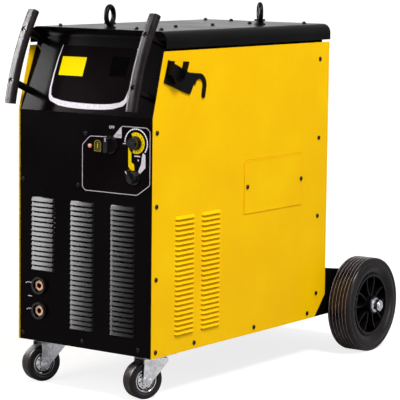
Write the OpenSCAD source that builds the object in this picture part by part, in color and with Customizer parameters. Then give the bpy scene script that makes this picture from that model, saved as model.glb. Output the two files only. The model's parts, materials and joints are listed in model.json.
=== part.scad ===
// Wheeled step-switched arc-welding power source.
// Millimetres, +Z up, front of the cabinet toward -Y, floor at Z = 0.
// The origin is the middle of the whole machine's footprint, on the floor.

/* [Cabinet] */
// Width over the side panels
body_w = 410; // [390:1:450]
// Length of the side panels
body_l = 750; // [700:1:820]
// Underside of the cabinet above the floor
base_z = 107; // [104:1:112]
// Height at which the front leans back
bend_z = 672; // [650:1:700]
// Top edge of the side panels
panel_top_z = 825; // [800:1:850]
// Top of the cover
top_z = 871; // [862:1:880]
// How far the side panels' front edge leans back at the top
edge_setback = 41; // [30:1:50]
// Rear bottom corner cut of the side panels, along the length
corner_cut_y = 49; // [40:1:60]
// Rear bottom corner cut of the side panels, in height
corner_cut_z = 55; // [45:1:65]
// Thickness of the panel sheet
sheet = 1.5; // [1.2:0.1:2]
// Bend radius along the cover's long edges
cover_r = 23; // [18:1:26]
// Gap between the cover's flange and a side panel
cover_gap = 6; // [4:1:8]
// How far the cover stands out past each side panel
cover_lap = 1; // [0.8:0.1:2]
// Front edge of the cover behind the front edge of the side panels
cover_setback = 46; // [44:1:54]
// Front panel behind the front edge of the side panels
front_recess = 4; // [3:0.5:6]
// Rear panel ahead of the rear edge of the side panels
rear_recess = 34; // [28:1:38]

/* [Chassis] */
// Thickness of the floor tray and the wheel brackets
tray_t = 3; // [2.5:0.5:4]
// Height of the tray's side flanges
tray_flange = 30; // [26:1:36]
// Leg of the corner posts and the upper rails
angle_leg = 20; // [18:1:22]
// Thickness of the corner posts and the upper rails
angle_t = 2.5; // [2:0.5:3]
// Height of the inner component shelf above the floor
shelf_z = 462; // [455:1:470]
// Height of the roof bars under the cover
roof_bar_h = 12; // [10:1:16]
// Width of the roof bars
roof_bar_w = 34; // [30:1:38]
// Distance of the long roof bars from the middle
roof_bar_x = 72; // [60:1:85]

/* [Bezel] */
// Lean of the bezel from the vertical, in degrees
bezel_tilt = 21.5; // [19:0.5:24]
// Thickness of the bezel
bezel_t = 2; // [1.6:0.1:3]
// Length of the bezel's leaning face
bezel_len = 190; // [187:1:194]
// Bend radius where the bezel turns forward under the cover
bezel_r = 20; // [16:1:24]
// Lowest point of the overlay's bowed lower edge above the bend, along the lean
overlay_low = 10.5; // [9:0.5:16]
// Height of the overlay, along the lean
overlay_h = 156.5; // [145:0.5:158]
// Greatest width of the overlay
overlay_w = 243; // [225:1:250]
// Thickness of the overlay and the control label
label_t = 0.6; // [0.4:0.1:1]
// Width of the blank display window
window_w = 50; // [40:1:60]
// Height of the blank display window
window_h = 48; // [40:1:55]

/* [Louvres] */
// Pitch of the louvres
louvre_pitch = 12; // [11:0.5:14]
// Height that a louvre stands out
louvre_rise = 5; // [3:0.5:7]
// Flat strip between two louvres
louvre_land = 1.5; // [1:0.5:3]
// Open slot under a louvre's lip
louvre_slot = 1; // [0.8:0.1:1.5]
// Width of the louvres
louvre_w = 78; // [70:1:82]
// Top row of the front and rear louvres
louvre_top_front = 462; // [455:1:470]
// Top row of the side louvres
louvre_top_side = 437; // [430:1:445]

/* [Wheels] */
// Rear wheel diameter
wheel_d = 250; // [240:1:260]
// Rear wheel width
wheel_w = 71; // [56:1:74]
// Rim diameter of the rear wheel
wheel_rim_d = 162; // [150:1:168]
// Rear axle diameter
axle_d = 20; // [18:1:22]
// Running clearance of wheels and knobs on their shafts, on the radius
run_gap = 0.05; // [0.03:0.01:0.1]
// Rear axle behind the rear edge of the side panels
axle_back = 120; // [116:1:130]
// Gap between a wheel bracket and the wheel's hub
wheel_gap = 8; // [6:1:12]
// Height of the wheel brackets at the cabinet
cheek_h = 129; // [110:1:135]
// Fall of the wheel brackets' top edge towards the back, per unit of length
cheek_fall = 0.15; // [0.1:0.05:0.25]
// Depth of the gas bottle shelf
shelf_depth = 250; // [240:1:270]
// Depth of the rim round the gas bottle shelf
shelf_rim = 22; // [18:1:30]

/* [Casters] */
// Caster wheel diameter
caster_d = 91; // [84:1:92]
// Caster wheel width
caster_w = 37; // [28:1:39]
// Caster swivel in from the side panel's face
caster_inset = 47; // [45:1:58]
// Caster swivel behind the front edge of the side panels
caster_back = 72; // [70:1:90]
// Caster trail
caster_trail = 32; // [26:1:34]
// Caster axle diameter
caster_axle_d = 12; // [10:1:14]
// Angle that the casters stand at, in degrees
caster_turn = 20; // [0:1:45]
// Thickness of the fork and the caster's top plate
fork_t = 3; // [2.5:0.5:4]

/* [Handles] */
// Handle in from the side panel's face
handle_inset = 21; // [17:1:28]
// Lower handle arm above the bend, along the lean
handle_low = 47; // [40:1:52]
// Distance between the two arms of a handle
handle_span = 130; // [120:1:134]
// Distance of the grip's back face from the bezel, at the middle
handle_clear = 62; // [50:1:70]
// Grip width
grip_w = 30; // [26:1:34]
// Grip thickness
grip_t = 20; // [18:1:24]
// Grip length
grip_l = 238; // [220:1:250]
// Radius of the grip's bow
grip_bow_r = 640; // [500:10:900]
// Handle arm diameter
arm_d = 17; // [14:1:20]
// Handle screw diameter
handle_screw_d = 8; // [6:1:10]

/* [Controls] */
// Main switch knob diameter
switch_knob_d = 42; // [36:1:46]
// Selector knob diameter
knob_d = 34; // [28:1:38]
// Height of a knob
knob_h = 24; // [18:1:30]
// Knob shaft diameter
knob_shaft_d = 6; // [5:0.5:8]
// Lamp diameter
lamp_d = 12; // [10:1:14]
// Collar diameter of an output socket
socket_d = 42; // [38:1:46]
// Bore diameter of an output socket
socket_bore_d = 13.2; // [12:0.1:14]
// Depth of an output socket's bore
socket_bore_l = 30; // [24:1:36]

/* [Fasteners] */
// Head diameter of the case screws
screw_head_d = 11; // [9:0.5:12]
// Head height of the case screws
screw_head_h = 3; // [2:0.5:4]
// Shank diameter of the case screws
screw_d = 5; // [4:0.5:6]
// Clearance of a shank or shaft in a plain hole, on the radius
hole_gap = 0.4; // [0.3:0.1:0.6]
// Gap between two painted pieces that meet
seam = 0.3; // [0.2:0.05:0.4]
// Thickness of the glue under the overlay and the window
glue_t = 0.05; // [0.02:0.01:0.1]
// Wire diameter of a lifting eye
eye_wire = 12; // [10:1:14]
// Inner diameter of a lifting eye
eye_bore = 30; // [26:1:34]
// Thread diameter of a lifting eye
eye_thread = 12; // [10:1:14]

/* [Inside] */
// Gap between the main transformer's outer coils and a side panel's face
coil_side_gap = 19.5; // [12:0.5:30]
// Height of the main transformer's core
core_h = 250; // [230:1:260]
// Stack of the main transformer's core
core_stack = 110; // [90:1:120]
// Limb width of the main transformer's core
core_limb = 50; // [44:1:54]
// Fan diameter
fan_d = 290; // [260:5:300]
// Clearance between the fan's blades and its ring
fan_gap = 5; // [3:1:8]
// Fan blade count
fan_blades = 5; // [4:1:7]

/* [Hidden] */

$fn = 48;

yellow = "#f6c602";
gloss_black = "#141214";
satin_black = "#1d1b1c";
zinc = "#b6b4bd";
rubber = "#231f22";

// Cabinet planes, from the middle of the side panels
front_edge = -body_l / 2;
rear_edge = body_l / 2;
front_y = front_edge + front_recess;
rear_y = rear_edge - rear_recess;
inner_x = body_w / 2 - sheet;
case_x = inner_x - seam;
cover_y = front_edge + cover_setback;
cover_under = top_z - sheet;
floor_z = base_z + tray_t;

// Bezel frame: "up" runs along the lean, "out" is square to it
lean_up = [sin(bezel_tilt), cos(bezel_tilt)];
lean_out = [-cos(bezel_tilt), sin(bezel_tilt)];
function on_bezel(up, out) = [front_y, bend_z] + up * lean_up + out * lean_out;

// Handles
handle_x = body_w / 2 - handle_inset;
grip_mid = handle_low + handle_span / 2;
grip_face = handle_clear + grip_t;
grip_half_angle = asin(grip_l / 2 / grip_bow_r);
grip_drop = grip_bow_r - sqrt(pow(grip_bow_r, 2) - pow(handle_span / 2, 2));

// Wheels
axle_y = rear_edge + axle_back;
axle_z = wheel_d / 2;
bracket_x = case_x;
wheel_in_x = bracket_x + wheel_gap;
hub_l = wheel_w + 4;
washer_t = 3;
nut_t = 14;
axle_end = wheel_in_x + hub_l + 2 * run_gap + washer_t + nut_t + 4;

// The machine's footprint runs from the foot of the grips to the rear wheels
grip_foot = on_bezel(
    grip_mid - grip_bow_r * sin(grip_half_angle),
    grip_face - grip_bow_r * (1 - cos(grip_half_angle))
)[0];
footprint_mid = (grip_foot + axle_y + wheel_d / 2) / 2;
module place() translate([0, -footprint_mid, 0]) children();

// Casters
caster_x = body_w / 2 - caster_inset;
caster_y = front_edge + caster_back;
caster_plate_z = base_z - fork_t;
crown_z = caster_d + 2.5;
hub_half = caster_w / 2 + 2;
race_d = 54;

// Case screws on a side panel, as [y, z]
screw_edge_front = front_edge + 15;
screw_edge_rear = rear_y - angle_leg / 2;
screw_low_z = base_z + tray_flange / 2;
side_screw_points = concat(
    [for (i = [0:3]) [screw_edge_front, screw_low_z + i * (bend_z - 34 - screw_low_z) / 3]],
    [for (i = [0:3]) [screw_edge_rear, base_z + 63 + i * (panel_top_z - 43 - base_z - 63) / 3]],
    [for (y = [front_edge + 168, 46, rear_edge - 85]) [y, screw_low_z]]
);
front_screw_points = [
    [angle_leg / 2 - case_x, 502], [-20, 501], [2.6, 625],
    [angle_leg / 2 - case_x, 124], [-6, 124], [163, 124]
];

// Lifting eyes on the cover, as [x, y, turn], and the cross bars under the cover
eye_points = [[0, front_edge + 95, 14], [115, rear_edge - 190, 42]];
roof_bar_y = [eye_points[0][1], eye_points[1][1], rear_y - 20];
cover_screw_points = concat(
    [for (x = [-154, 80, 154]) [x, roof_bar_y[0]]],
    [for (y = [front_edge + 260, 39, rear_edge - 173]) [roof_bar_x, y]],
    [for (x = [-154, -70, 160]) [x, roof_bar_y[2]]]
);

// Controls on the front panel, as [x, z]
switch_at = [80, 604];
fine_at = [153, 612];
range_at = [150, 531];
lamp_at = [15.5, 597];
socket_at = [[-140, 245], [-140, 183]];
switch_box = 48;
selector_box = 46;
label_outline = [
    [0, 489], [157, 489], [195, 515], [195, 641], [185, 650], [110, 650], [84, 623], [14, 621],
    [-9, 599], [-9, 498]
];
control_y = front_y - label_t;

// Access plate on the right side, as [y, z]
plate_low = [rear_edge - 379, 412];
plate_size = [262, 133];
plate_screw_z = plate_low[1] + 67;
plate_screw_points = [
    [plate_low[0] + 13, plate_screw_z], [plate_low[0] + plate_size[0] - 9, plate_screw_z]
];

// Torch holder on the right side: the lower front corner of its plate
holder_at = [front_edge + 38, bend_z + 81];
holder_lean = 19;
holder_t = 3;
cup_depth = 13;

// Inside
core_foot = 12;
coil_gap = 1;
coil_air = 2;
core_w = (body_w / 2 - coil_side_gap + coil_air) * 4 / 3 + core_limb;
fan_y = rear_edge - 125;
core_y = fan_y - 190;
fan_z = floor_z + fan_d / 2 + 25;
shaft_r = knob_shaft_d / 2;

// ---------------------------------------------------------------- helpers

// Extrudes a [y, z] outline along X
module along_x(len) rotate([90, 0, 90]) linear_extrude(len, center = true) children();

// Extrudes an [x, z] outline along Y
module along_y(len) rotate([90, 0, 0]) linear_extrude(len, center = true) children();

// A cylinder whose axis runs along Y from y1 to y2
module rod_y(d, y1, y2) translate([0, y1, 0]) rotate([-90, 0, 0]) cylinder(d = d, h = y2 - y1);

// A cylinder whose axis runs along X from x1 to x2
module rod_x(d, x1, x2) translate([x1, 0, 0]) rotate([0, 90, 0]) cylinder(d = d, h = x2 - x1);

// A box given by its two corners
module block(a, b) translate(a) cube(b - a);

module mirror_x() {
    children();
    mirror([1, 0, 0]) children();
}

// A rectangle with round corners, centred
module round_rect(size, r) {
    square([size[0] - 2 * r, size[1]], center = true);
    square([size[0], size[1] - 2 * r], center = true);
    for (x = [-1, 1]) for (y = [-1, 1])
        translate([x * (size[0] / 2 - r), y * (size[1] / 2 - r)]) circle(r);
}

// A column of louvres. Its outer face is y = 0, outward is -Y and its top edge is at z = 0.
module louvre_column(rows) {
    foot = louvre_pitch - louvre_slot;
    lip = sheet * 1.2;
    inner = foot - (louvre_rise - lip + sheet) * (foot - louvre_land) / louvre_rise;
    along_x(louvre_w) for (i = [0:rows - 1]) translate([0, -i * louvre_pitch]) polygon([
        [0, 0], [0, -louvre_land], [-louvre_rise, -foot], [lip - louvre_rise, -foot],
        [sheet, -inner], [sheet, 0]
    ]);
    for (s = [-1, 1]) translate([s * (louvre_w / 2 - sheet / 2), 0, 0])
        along_x(sheet) for (i = [0:rows - 1]) translate([0, -i * louvre_pitch])
            polygon([[0, -louvre_land], [-louvre_rise, -foot], [0, -foot]]);
}

// The window that a column of louvres fills
module louvre_window(rows) {
    h = rows * louvre_pitch;
    block([-louvre_w / 2 + sheet, -1, -h], [louvre_w / 2 - sheet, sheet + 1, 0]);
}

// ---------------------------------------------------------------- cabinet

module side_outline() polygon([
    [front_edge, base_z], [front_edge, bend_z], [front_edge + edge_setback, panel_top_z],
    [rear_edge, panel_top_z], [rear_edge, base_z + corner_cut_z], [rear_edge - corner_cut_y, base_z]
]);

side_rows = 24;
side_columns = [front_edge + 127, front_edge + 233];

module side_panel() {
    difference() {
        translate([inner_x + sheet / 2, 0, 0]) along_x(sheet) side_outline();
        for (p = side_screw_points) translate([0, p[0], p[1]])
            rod_x(screw_d + 2 * hole_gap, inner_x - 1, inner_x + sheet + 1);
        for (y = side_columns) translate([body_w / 2, y, louvre_top_side])
            rotate([0, 0, 90]) louvre_window(side_rows);
    }
    for (y = side_columns) translate([body_w / 2, y, louvre_top_side])
        rotate([0, 0, 90]) louvre_column(side_rows);
}

module side_panel_left() place() color(yellow) mirror([1, 0, 0]) side_panel();

module side_panel_right() place() color(yellow) difference() {
    side_panel();
    for (p = plate_screw_points) translate([0, p[0], p[1]])
        rod_x(screw_d + 2 * hole_gap, inner_x - 1, inner_x + sheet + 1);
}

module access_plate() place() color(yellow) translate([body_w / 2 + 0.5, 0, 0]) difference() {
    along_x(1) translate(plate_low + plate_size / 2) round_rect(plate_size, 6);
    for (p = plate_screw_points) translate([0, p[0], p[1]])
        rod_x(screw_d + 2 * hole_gap, -2, 2);
}

module base_tray() place() color(satin_black) difference() {
    union() {
        block([-case_x, front_y + sheet + seam, base_z], [case_x, rear_y - seam, floor_z]);
        mirror_x() block(
            [case_x - angle_t, front_y + sheet + seam + angle_leg + seam, base_z],
            [case_x, rear_y - angle_leg - 2 * seam, base_z + tray_flange]
        );
    }
    for (p = side_screw_points) if (p[0] > front_edge + 40 && p[0] < rear_edge - 60)
        mirror_x() translate([0, p[0], p[1]]) rod_x(screw_d, case_x - angle_t - 1, case_x + 1);
    mirror_x() for (x = [-1, 1]) for (y = [-1, 1])
        translate([caster_x + x * 30, caster_y + y * 25, base_z - 1]) cylinder(d = 8.4, h = tray_t + 2);
}

// Welded frame: four corner posts, upper rails, component shelf and roof bars
rail_z = panel_top_z - angle_leg - 4;
rail_start = cover_y + 26;
front_post_y = front_y + sheet + seam;
rear_post_y = rear_y - seam;
bar_z = cover_under - roof_bar_h;
shelf_start = front_edge + 185;
shelf_end = rear_edge - 160;
hanger_w = 35;
roof_half = 170;
bracket_t = 4;
bracket_w = 20;

// Section of a corner post as [x, y], its outer corner at the case's corner
module post_section(y, dir) polygon([
    [case_x, y], [case_x - angle_leg, y], [case_x - angle_leg, y + dir * angle_t],
    [case_x - angle_t, y + dir * angle_t], [case_x - angle_t, y + dir * angle_leg],
    [case_x, y + dir * angle_leg]
]);

// Section of an upper rail as [x, z]
module rail_section() polygon([
    [case_x, rail_z], [case_x - angle_leg, rail_z], [case_x - angle_leg, rail_z + angle_t],
    [case_x - angle_t, rail_z + angle_t], [case_x - angle_t, rail_z + angle_leg],
    [case_x, rail_z + angle_leg]
]);

// Section of a bracket that carries a roof bar on the rail, as [x, z]
module bracket_section() polygon([
    [roof_half - bracket_t, bar_z], [roof_half, bar_z], [roof_half, rail_z + angle_t + bracket_t],
    [case_x - angle_t, rail_z + angle_t + bracket_t], [case_x - angle_t, rail_z + angle_t],
    [roof_half - bracket_t, rail_z + angle_t]
]);

module inner_frame() place() color(satin_black) difference() {
    union() {
        mirror_x() {
            translate([0, 0, floor_z]) linear_extrude(bend_z - 4 - floor_z) post_section(front_post_y, 1);
            translate([0, 0, floor_z]) linear_extrude(panel_top_z - 4 - floor_z)
                post_section(rear_post_y, -1);
            translate([0, (rail_start + rear_post_y - angle_leg) / 2, 0])
                along_y(rear_post_y - angle_leg - rail_start) rail_section();
            // Front leg of the rail, on the tray's flange
            block(
                [case_x - angle_t, rail_start, base_z + tray_flange],
                [case_x, rail_start + angle_leg, rail_z]
            );
            for (y = [shelf_start, shelf_end - hanger_w])
                block([case_x - angle_t, y, shelf_z], [case_x, y + hanger_w, rail_z]);
            for (y = roof_bar_y) translate([0, y, 0]) along_y(bracket_w) bracket_section();
        }
        block([-case_x, shelf_start, shelf_z - angle_t], [case_x, shelf_end, shelf_z]);
        translate([0, 0, bar_z]) linear_extrude(roof_bar_h) {
            for (y = roof_bar_y) translate([0, y]) square([2 * roof_half, roof_bar_w], center = true);
            for (s = [-1, 1]) translate([s * roof_bar_x - roof_bar_w / 2, roof_bar_y[0]])
                square([roof_bar_w, roof_bar_y[2] - roof_bar_y[0]]);
        }
    }
    for (p = side_screw_points) mirror_x() translate([0, p[0], p[1]])
        rod_x(screw_d, case_x - 6, case_x + 1);
    for (p = front_screw_points) translate([p[0], 0, p[1]])
        rod_y(screw_d, front_post_y - 1, front_post_y + angle_t + 1);
    for (p = eye_points) translate([p[0], p[1], bar_z - 1]) cylinder(d = eye_thread, h = roof_bar_h + 2);
    for (p = cover_screw_points) translate([p[0], p[1], bar_z - 1])
        cylinder(d = screw_d, h = roof_bar_h + 2);
}

// Outline of the space under the cover, as [x, z]
module cover_outline(inset) {
    r = cover_r - inset;
    half = body_w / 2 + cover_lap + sheet - inset;
    low = panel_top_z + cover_gap;
    translate([-half, low]) square([2 * half, top_z - inset - r - low]);
    translate([r - half, low]) square([2 * (half - r), top_z - inset - low]);
    for (s = [-1, 1]) translate([s * (half - r), top_z - inset - r]) circle(r);
}

module top_cover() place() color(satin_black) difference() {
    translate([0, (cover_y + rear_edge) / 2, 0]) along_y(rear_edge - cover_y) difference() {
        cover_outline(0);
        cover_outline(sheet);
        translate([-body_w, panel_top_z - 10]) square([2 * body_w, 10 + cover_gap]);
        translate([-body_w / 2 - cover_lap, panel_top_z]) square([body_w + 2 * cover_lap, cover_gap + 5]);
    }
    for (p = eye_points) translate([p[0], p[1], top_z - sheet - 1])
        cylinder(d = eye_thread + 2 * hole_gap, h = sheet + 2);
    for (p = cover_screw_points) translate([p[0], p[1], top_z - sheet - 1])
        cylinder(d = screw_d + 2 * hole_gap, h = sheet + 2);
}

front_columns = [[-131, 15], [-9, 26], [114, 26]];
control_holes = [[switch_at, knob_shaft_d + 4], [fine_at, knob_shaft_d + 4], [range_at, knob_shaft_d + 4],
    [lamp_at, lamp_d - 2]];

module front_panel() place() color(gloss_black) {
    difference() {
        block([-case_x, front_y, base_z], [case_x, front_y + sheet, bend_z - seam]);
        for (c = front_columns) translate([c[0], front_y, louvre_top_front]) louvre_window(c[1]);
        for (h = control_holes) translate([h[0][0], 0, h[0][1]]) rod_y(h[1], front_y - 1, front_y + 3);
        for (s = socket_at) translate([s[0], 0, s[1]]) rod_y(socket_d - 8, front_y - 1, front_y + 3);
        for (s = front_screw_points) translate([s[0], 0, s[1]])
            rod_y(screw_d + 2 * hole_gap, front_y - 1, front_y + 3);
    }
    for (c = front_columns) translate([c[0], front_y, louvre_top_front]) louvre_column(c[1]);
}

rear_columns = [-122, 0, 122];
gland_at = [-120, 560];
gland_d = 32;

module rear_panel() place() color(gloss_black) {
    difference() {
        union() {
            block([-case_x, rear_y, base_z], [case_x, rear_y + sheet, panel_top_z]);
            translate([0, rear_y + sheet / 2, 0]) along_y(sheet) intersection() {
                cover_outline(sheet + seam);
                square([2 * case_x, 4 * top_z], center = true);
            }
            block([-case_x, rear_y, panel_top_z - 1], [case_x, rear_y + sheet, panel_top_z + cover_gap + 1]);
        }
        for (x = rear_columns) translate([x, rear_y + sheet, louvre_top_front])
            rotate([0, 0, 180]) louvre_window(20);
        translate([gland_at[0], 0, gland_at[1]]) rod_y(gland_d + 2 * hole_gap, rear_y - 1, rear_y + 3);
    }
    for (x = rear_columns) translate([x, rear_y + sheet, louvre_top_front])
        rotate([0, 0, 180]) louvre_column(20);
}

// ---------------------------------------------------------------- bezel

// Outer line of the bezel, as [y, z]: up the lean, round the bend and forward under the cover
bezel_turn = bezel_tilt + 32;
bezel_steps = 8;
bezel_centre = on_bezel(bezel_len, bezel_r);
function bezel_arc(r) = [
    for (i = [0:bezel_steps]) let (a = -bezel_tilt + i * bezel_turn / bezel_steps)
        bezel_centre + r * [cos(a), sin(a)]
];
bezel_tip = [cover_y + 4, cover_under - seam];
bezel_line = concat(
    [on_bezel(0, 0)], bezel_arc(bezel_r), [bezel_tip - [0, bezel_t], bezel_tip],
    [for (i = [bezel_steps:-1:0]) bezel_arc(bezel_r + bezel_t)[i]], [on_bezel(0, -bezel_t)]
);

module bezel() place() color(gloss_black) intersection() {
    along_x(2 * case_x) polygon(bezel_line);
    translate([0, front_y, 0]) along_y(body_l) {
        cover_outline(sheet + seam);
        translate([-case_x, bend_z]) square([2 * case_x, panel_top_z + cover_gap + 1 - bend_z]);
    }
}

// Places children on the bezel: x across, y up the lean, z out of the face
module on_face(up, out) translate([0, on_bezel(up, out)[0], on_bezel(up, out)[1]])
    rotate([90 - bezel_tilt, 0, 0]) children();

overlay_x = -5.5;
window_at = [67, 120];
// The overlay's edge as shares of its half width and its height, from the middle below to the top right
overlay_edge = [
    [0, 0], [0.25, 0.005], [0.47, 0.014], [0.69, 0.031], [0.9, 0.08], [0.98, 0.15], [1, 0.297],
    [1, 0.527], [0.98, 0.79], [0.935, 1]
];

module overlay_shape() polygon([
    for (i = [1 - len(overlay_edge):len(overlay_edge) - 1])
        [sign(i) * overlay_edge[abs(i)][0] * overlay_w / 2, overlay_edge[abs(i)][1] * overlay_h]
]);

module bezel_overlay() place() color(gloss_black) on_face(overlay_low, glue_t)
    linear_extrude(label_t) difference() {
        translate([overlay_x, 0]) overlay_shape();
        translate([window_at[0], window_at[1] - overlay_low])
            square([window_w + 2 * seam, window_h + 2 * seam], center = true);
    }

module display_window() place() color("#0c0a0b") on_face(window_at[1], glue_t)
    translate([window_at[0], 0, 0]) linear_extrude(label_t + 0.6)
        square([window_w, window_h], center = true);

// ---------------------------------------------------------------- handles

// Bowed bar along the lean, its middle at [0, 0] of the face frame and its outer face at z = 0
module bowed_bar() translate([0, 0, -grip_bow_r]) rotate([0, 90, 0]) rotate([0, 0, -grip_half_angle + 180])
    rotate_extrude(angle = 2 * grip_half_angle, $fn = 96) translate([grip_bow_r - grip_t / 2, 0]) {
        square([grip_t, grip_w - grip_t], center = true);
        for (s = [-1, 1]) translate([0, s * (grip_w - grip_t) / 2]) circle(d = grip_t);
    }

module handle_grips() place() color("#4d4a4f") mirror_x() difference() {
    on_face(grip_mid, grip_face) translate([handle_x, 0, 0]) bowed_bar();
    for (s = [0, 1]) on_face(handle_low + s * handle_span, 0) translate([handle_x, 0, handle_clear - 10]) {
        cylinder(d = handle_screw_d + 2 * hole_gap, h = grip_t + 20);
        translate([0, 0, 10 + grip_t - grip_drop - 9]) cylinder(d = handle_screw_d * 1.7, h = 30);
        translate([0, 0, -20]) cylinder(d = arm_d + 4, h = 30 - grip_drop);
    }
}

arm_len = handle_clear - grip_drop;

module handle_arms() place() color(satin_black) mirror_x() for (s = [0, 1])
    on_face(handle_low + s * handle_span, 0) translate([handle_x, 0, 0]) difference() {
        cylinder(d = arm_d, h = arm_len);
        translate([0, 0, arm_len - 25]) cylinder(d = handle_screw_d, h = 30);
    }

module handle_screws() place() color(satin_black) mirror_x() for (s = [0, 1])
    on_face(handle_low + s * handle_span, 0) translate([handle_x, 0, 0]) difference() {
        union() {
            translate([0, 0, arm_len - 24]) cylinder(d = handle_screw_d, h = 24 + grip_t - 8);
            translate([0, 0, arm_len + grip_t - 9]) cylinder(d = handle_screw_d * 1.6, h = 6);
        }
        translate([0, 0, arm_len + grip_t - 6]) cylinder(d = handle_screw_d * 0.8, h = 6, $fn = 6);
    }

// ---------------------------------------------------------------- fittings

eye_ring_r = (eye_bore + eye_wire) / 2;
eye_collar_d = 28;
eye_neck_d = 20;
eye_washer_t = 4;
eye_lift = eye_bore / 2 + eye_wire - 1;

module lifting_eyes() place() color(satin_black) for (p = eye_points) translate([p[0], p[1], top_z]) {
    cylinder(d = eye_collar_d, h = eye_washer_t);
    cylinder(d = eye_neck_d, h = eye_washer_t + 9);
    translate([0, 0, eye_washer_t + 5]) cylinder(d = eye_collar_d, h = 5);
    translate([0, 0, -sheet - roof_bar_h]) cylinder(d = eye_thread, h = sheet + roof_bar_h + 1);
    translate([0, 0, eye_washer_t + eye_lift]) rotate([0, 0, p[2]]) rotate([0, 90, 0])
        rotate_extrude() translate([eye_ring_r, 0]) circle(d = eye_wire);
}

// A pan-head screw whose head sits on z = 0 and whose shank runs down
cover_head_h = 6;

module case_screw(grip, h = screw_head_h) difference() {
    union() {
        cylinder(d = screw_head_d, h = h * 0.6);
        cylinder(d1 = screw_head_d, d2 = screw_head_d * 0.6, h = h);
        translate([0, 0, -grip]) cylinder(d = screw_d, h = grip + 1);
    }
    translate([0, 0, h - 1.5]) cylinder(d = screw_d * 0.8, h = 2, $fn = 6);
}

module side_screws() place() color(satin_black) {
    mirror_x() for (p = side_screw_points) translate([body_w / 2, p[0], p[1]])
        rotate([0, 90, 0]) case_screw(sheet + seam + angle_t);
    for (p = plate_screw_points) translate([body_w / 2 + 1, p[0], p[1]])
        rotate([0, 90, 0]) case_screw(sheet + 5);
}

module case_screws() place() color(satin_black) {
    for (p = front_screw_points) translate([p[0], front_y, p[1]]) rotate([90, 0, 0]) case_screw(sheet + 5);
    for (p = cover_screw_points) translate([p[0], p[1], top_z]) case_screw(sheet + roof_bar_h, cover_head_h);
}

// Plate of the torch holder with its hook, as [y, z] from the lower front corner
module holder_profile() {
    polygon([[0, 0], [17, 52], [95, 20], [137, 16], [137, 3], [126, 0], [118, -5], [101, -32], [81, -27]]);
    difference() {
        translate([137, -13]) circle(29);
        translate([137, -13]) circle(16);
        translate([100, -60]) square([80, 47]);
        translate([90, -13]) square([31, 40]);
    }
    translate([159.5, -13]) rotate(-10) translate([-6.5, -24]) square([13, 26]);
    translate([155.3, -37]) circle(6.5);
}

// Outer line of the cup, as [along, up] in the leaning frame of the holder
cup_line = [[2, 54], [4, 21], [37, 7], [58, 25], [60, 68]];
cup_t = 3;

module cup_wall(a, b) {
    d = (b - a) / norm(b - a);
    n = [-d[1], d[0]] * cup_t;
    polygon([a, b, b + n, a + n]);
    translate(b + n / 2) circle(d = cup_t);
}

module torch_holder() place() color(satin_black) {
    translate([body_w / 2 + holder_t / 2, 0, 0]) along_x(holder_t) translate(holder_at) holder_profile();
    translate([body_w / 2 + holder_t + cup_depth / 2, 0, 0]) along_x(cup_depth)
        translate(holder_at) rotate(-holder_lean) for (i = [0:len(cup_line) - 2])
            cup_wall(cup_line[i], cup_line[i + 1]);
    translate([body_w / 2 + holder_t / 2, 0, 0]) along_x(holder_t) translate(holder_at)
        rotate(-holder_lean) cup_wall([60, 30], [60, 68]);
}

// ---------------------------------------------------------------- controls

// A fluted knob with a bar across it; its foot is z = 0, it turns about Z and the bar points to +Y
module pointer_knob(d, h) difference() {
    union() {
        cylinder(d = d, h = h * 0.2);
        cylinder(d = d * 0.86, h = h * 0.65);
        translate([-d * 0.11, -d * 0.38, h * 0.1]) cube([d * 0.22, d, h * 0.9]);
        translate([0, 0, -30]) cylinder(r = shaft_r, h = 31);
    }
    for (i = [0:11]) rotate([0, 0, 105 + i * 30]) translate([0, d * 0.47, h * 0.34])
        cylinder(d = d * 0.12, h = h);
}

// A bar knob on a round skirt; the bar points to +Y
module bar_knob(d, h) {
    cylinder(d = d, h = h * 0.4);
    translate([-d * 0.14, -d * 0.48, 0]) cube([d * 0.28, d * 0.96, h]);
    translate([0, 0, -30]) cylinder(r = shaft_r, h = 31);
}

knob_foot = 0.6;

module on_front(at) translate([at[0], control_y - knob_foot, at[1]]) rotate([90, 0, 0]) children();

module main_switch_knob() place() color(satin_black) on_front(switch_at) bar_knob(switch_knob_d, knob_h);
module fine_selector_knob() place() color(satin_black) on_front(fine_at)
    rotate([0, 0, 90]) pointer_knob(knob_d, knob_h);
module range_selector_knob() place() color(satin_black) on_front(range_at)
    rotate([0, 0, 30]) pointer_knob(knob_d, knob_h);

// A cam switch behind the front panel, with the knob's shaft in its bore
module cam_switch(at, box, decks) translate([at[0], front_y + sheet, at[1]]) difference() {
    union() {
        block([-box / 2, 0, -box / 2], [box / 2, 12, box / 2]);
        for (i = [0:decks - 1]) block(
            [-box / 2 + 3, 12 + i * 16, -box / 2 + 3], [box / 2 - 3, 27 + i * 16, box / 2 - 3]
        );
        block([-box / 4, 12, -box / 4], [box / 4, 11 + decks * 16, box / 4]);
    }
    rod_y(2 * (shaft_r + run_gap), -1, 34);
}

module main_switch_body() place() color("#2f2d30") cam_switch(switch_at, switch_box, 3);
module fine_selector_body() place() color("#2f2d30") cam_switch(fine_at, selector_box, 5);
module range_selector_body() place() color("#2f2d30") cam_switch(range_at, selector_box, 3);

module power_lamp() place() color("#e8925a") translate([lamp_at[0], 0, lamp_at[1]]) {
    rod_y(lamp_d, control_y - 6, control_y);
    rod_y(lamp_d - 2 - 2 * hole_gap, control_y - 1, front_y + 24);
    translate([0, control_y - 6, 0]) rotate([90, 0, 0]) cylinder(d1 = lamp_d, d2 = lamp_d * 0.6, h = 2.5);
}

module control_label() place() color(gloss_black) difference() {
    translate([0, front_y - label_t / 2, 0]) along_y(label_t) polygon(label_outline);
    for (h = control_holes) translate([h[0][0], 0, h[0][1]]) rod_y(h[1], front_y - 2, front_y + 1);
}

socket_out = 9;

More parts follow.
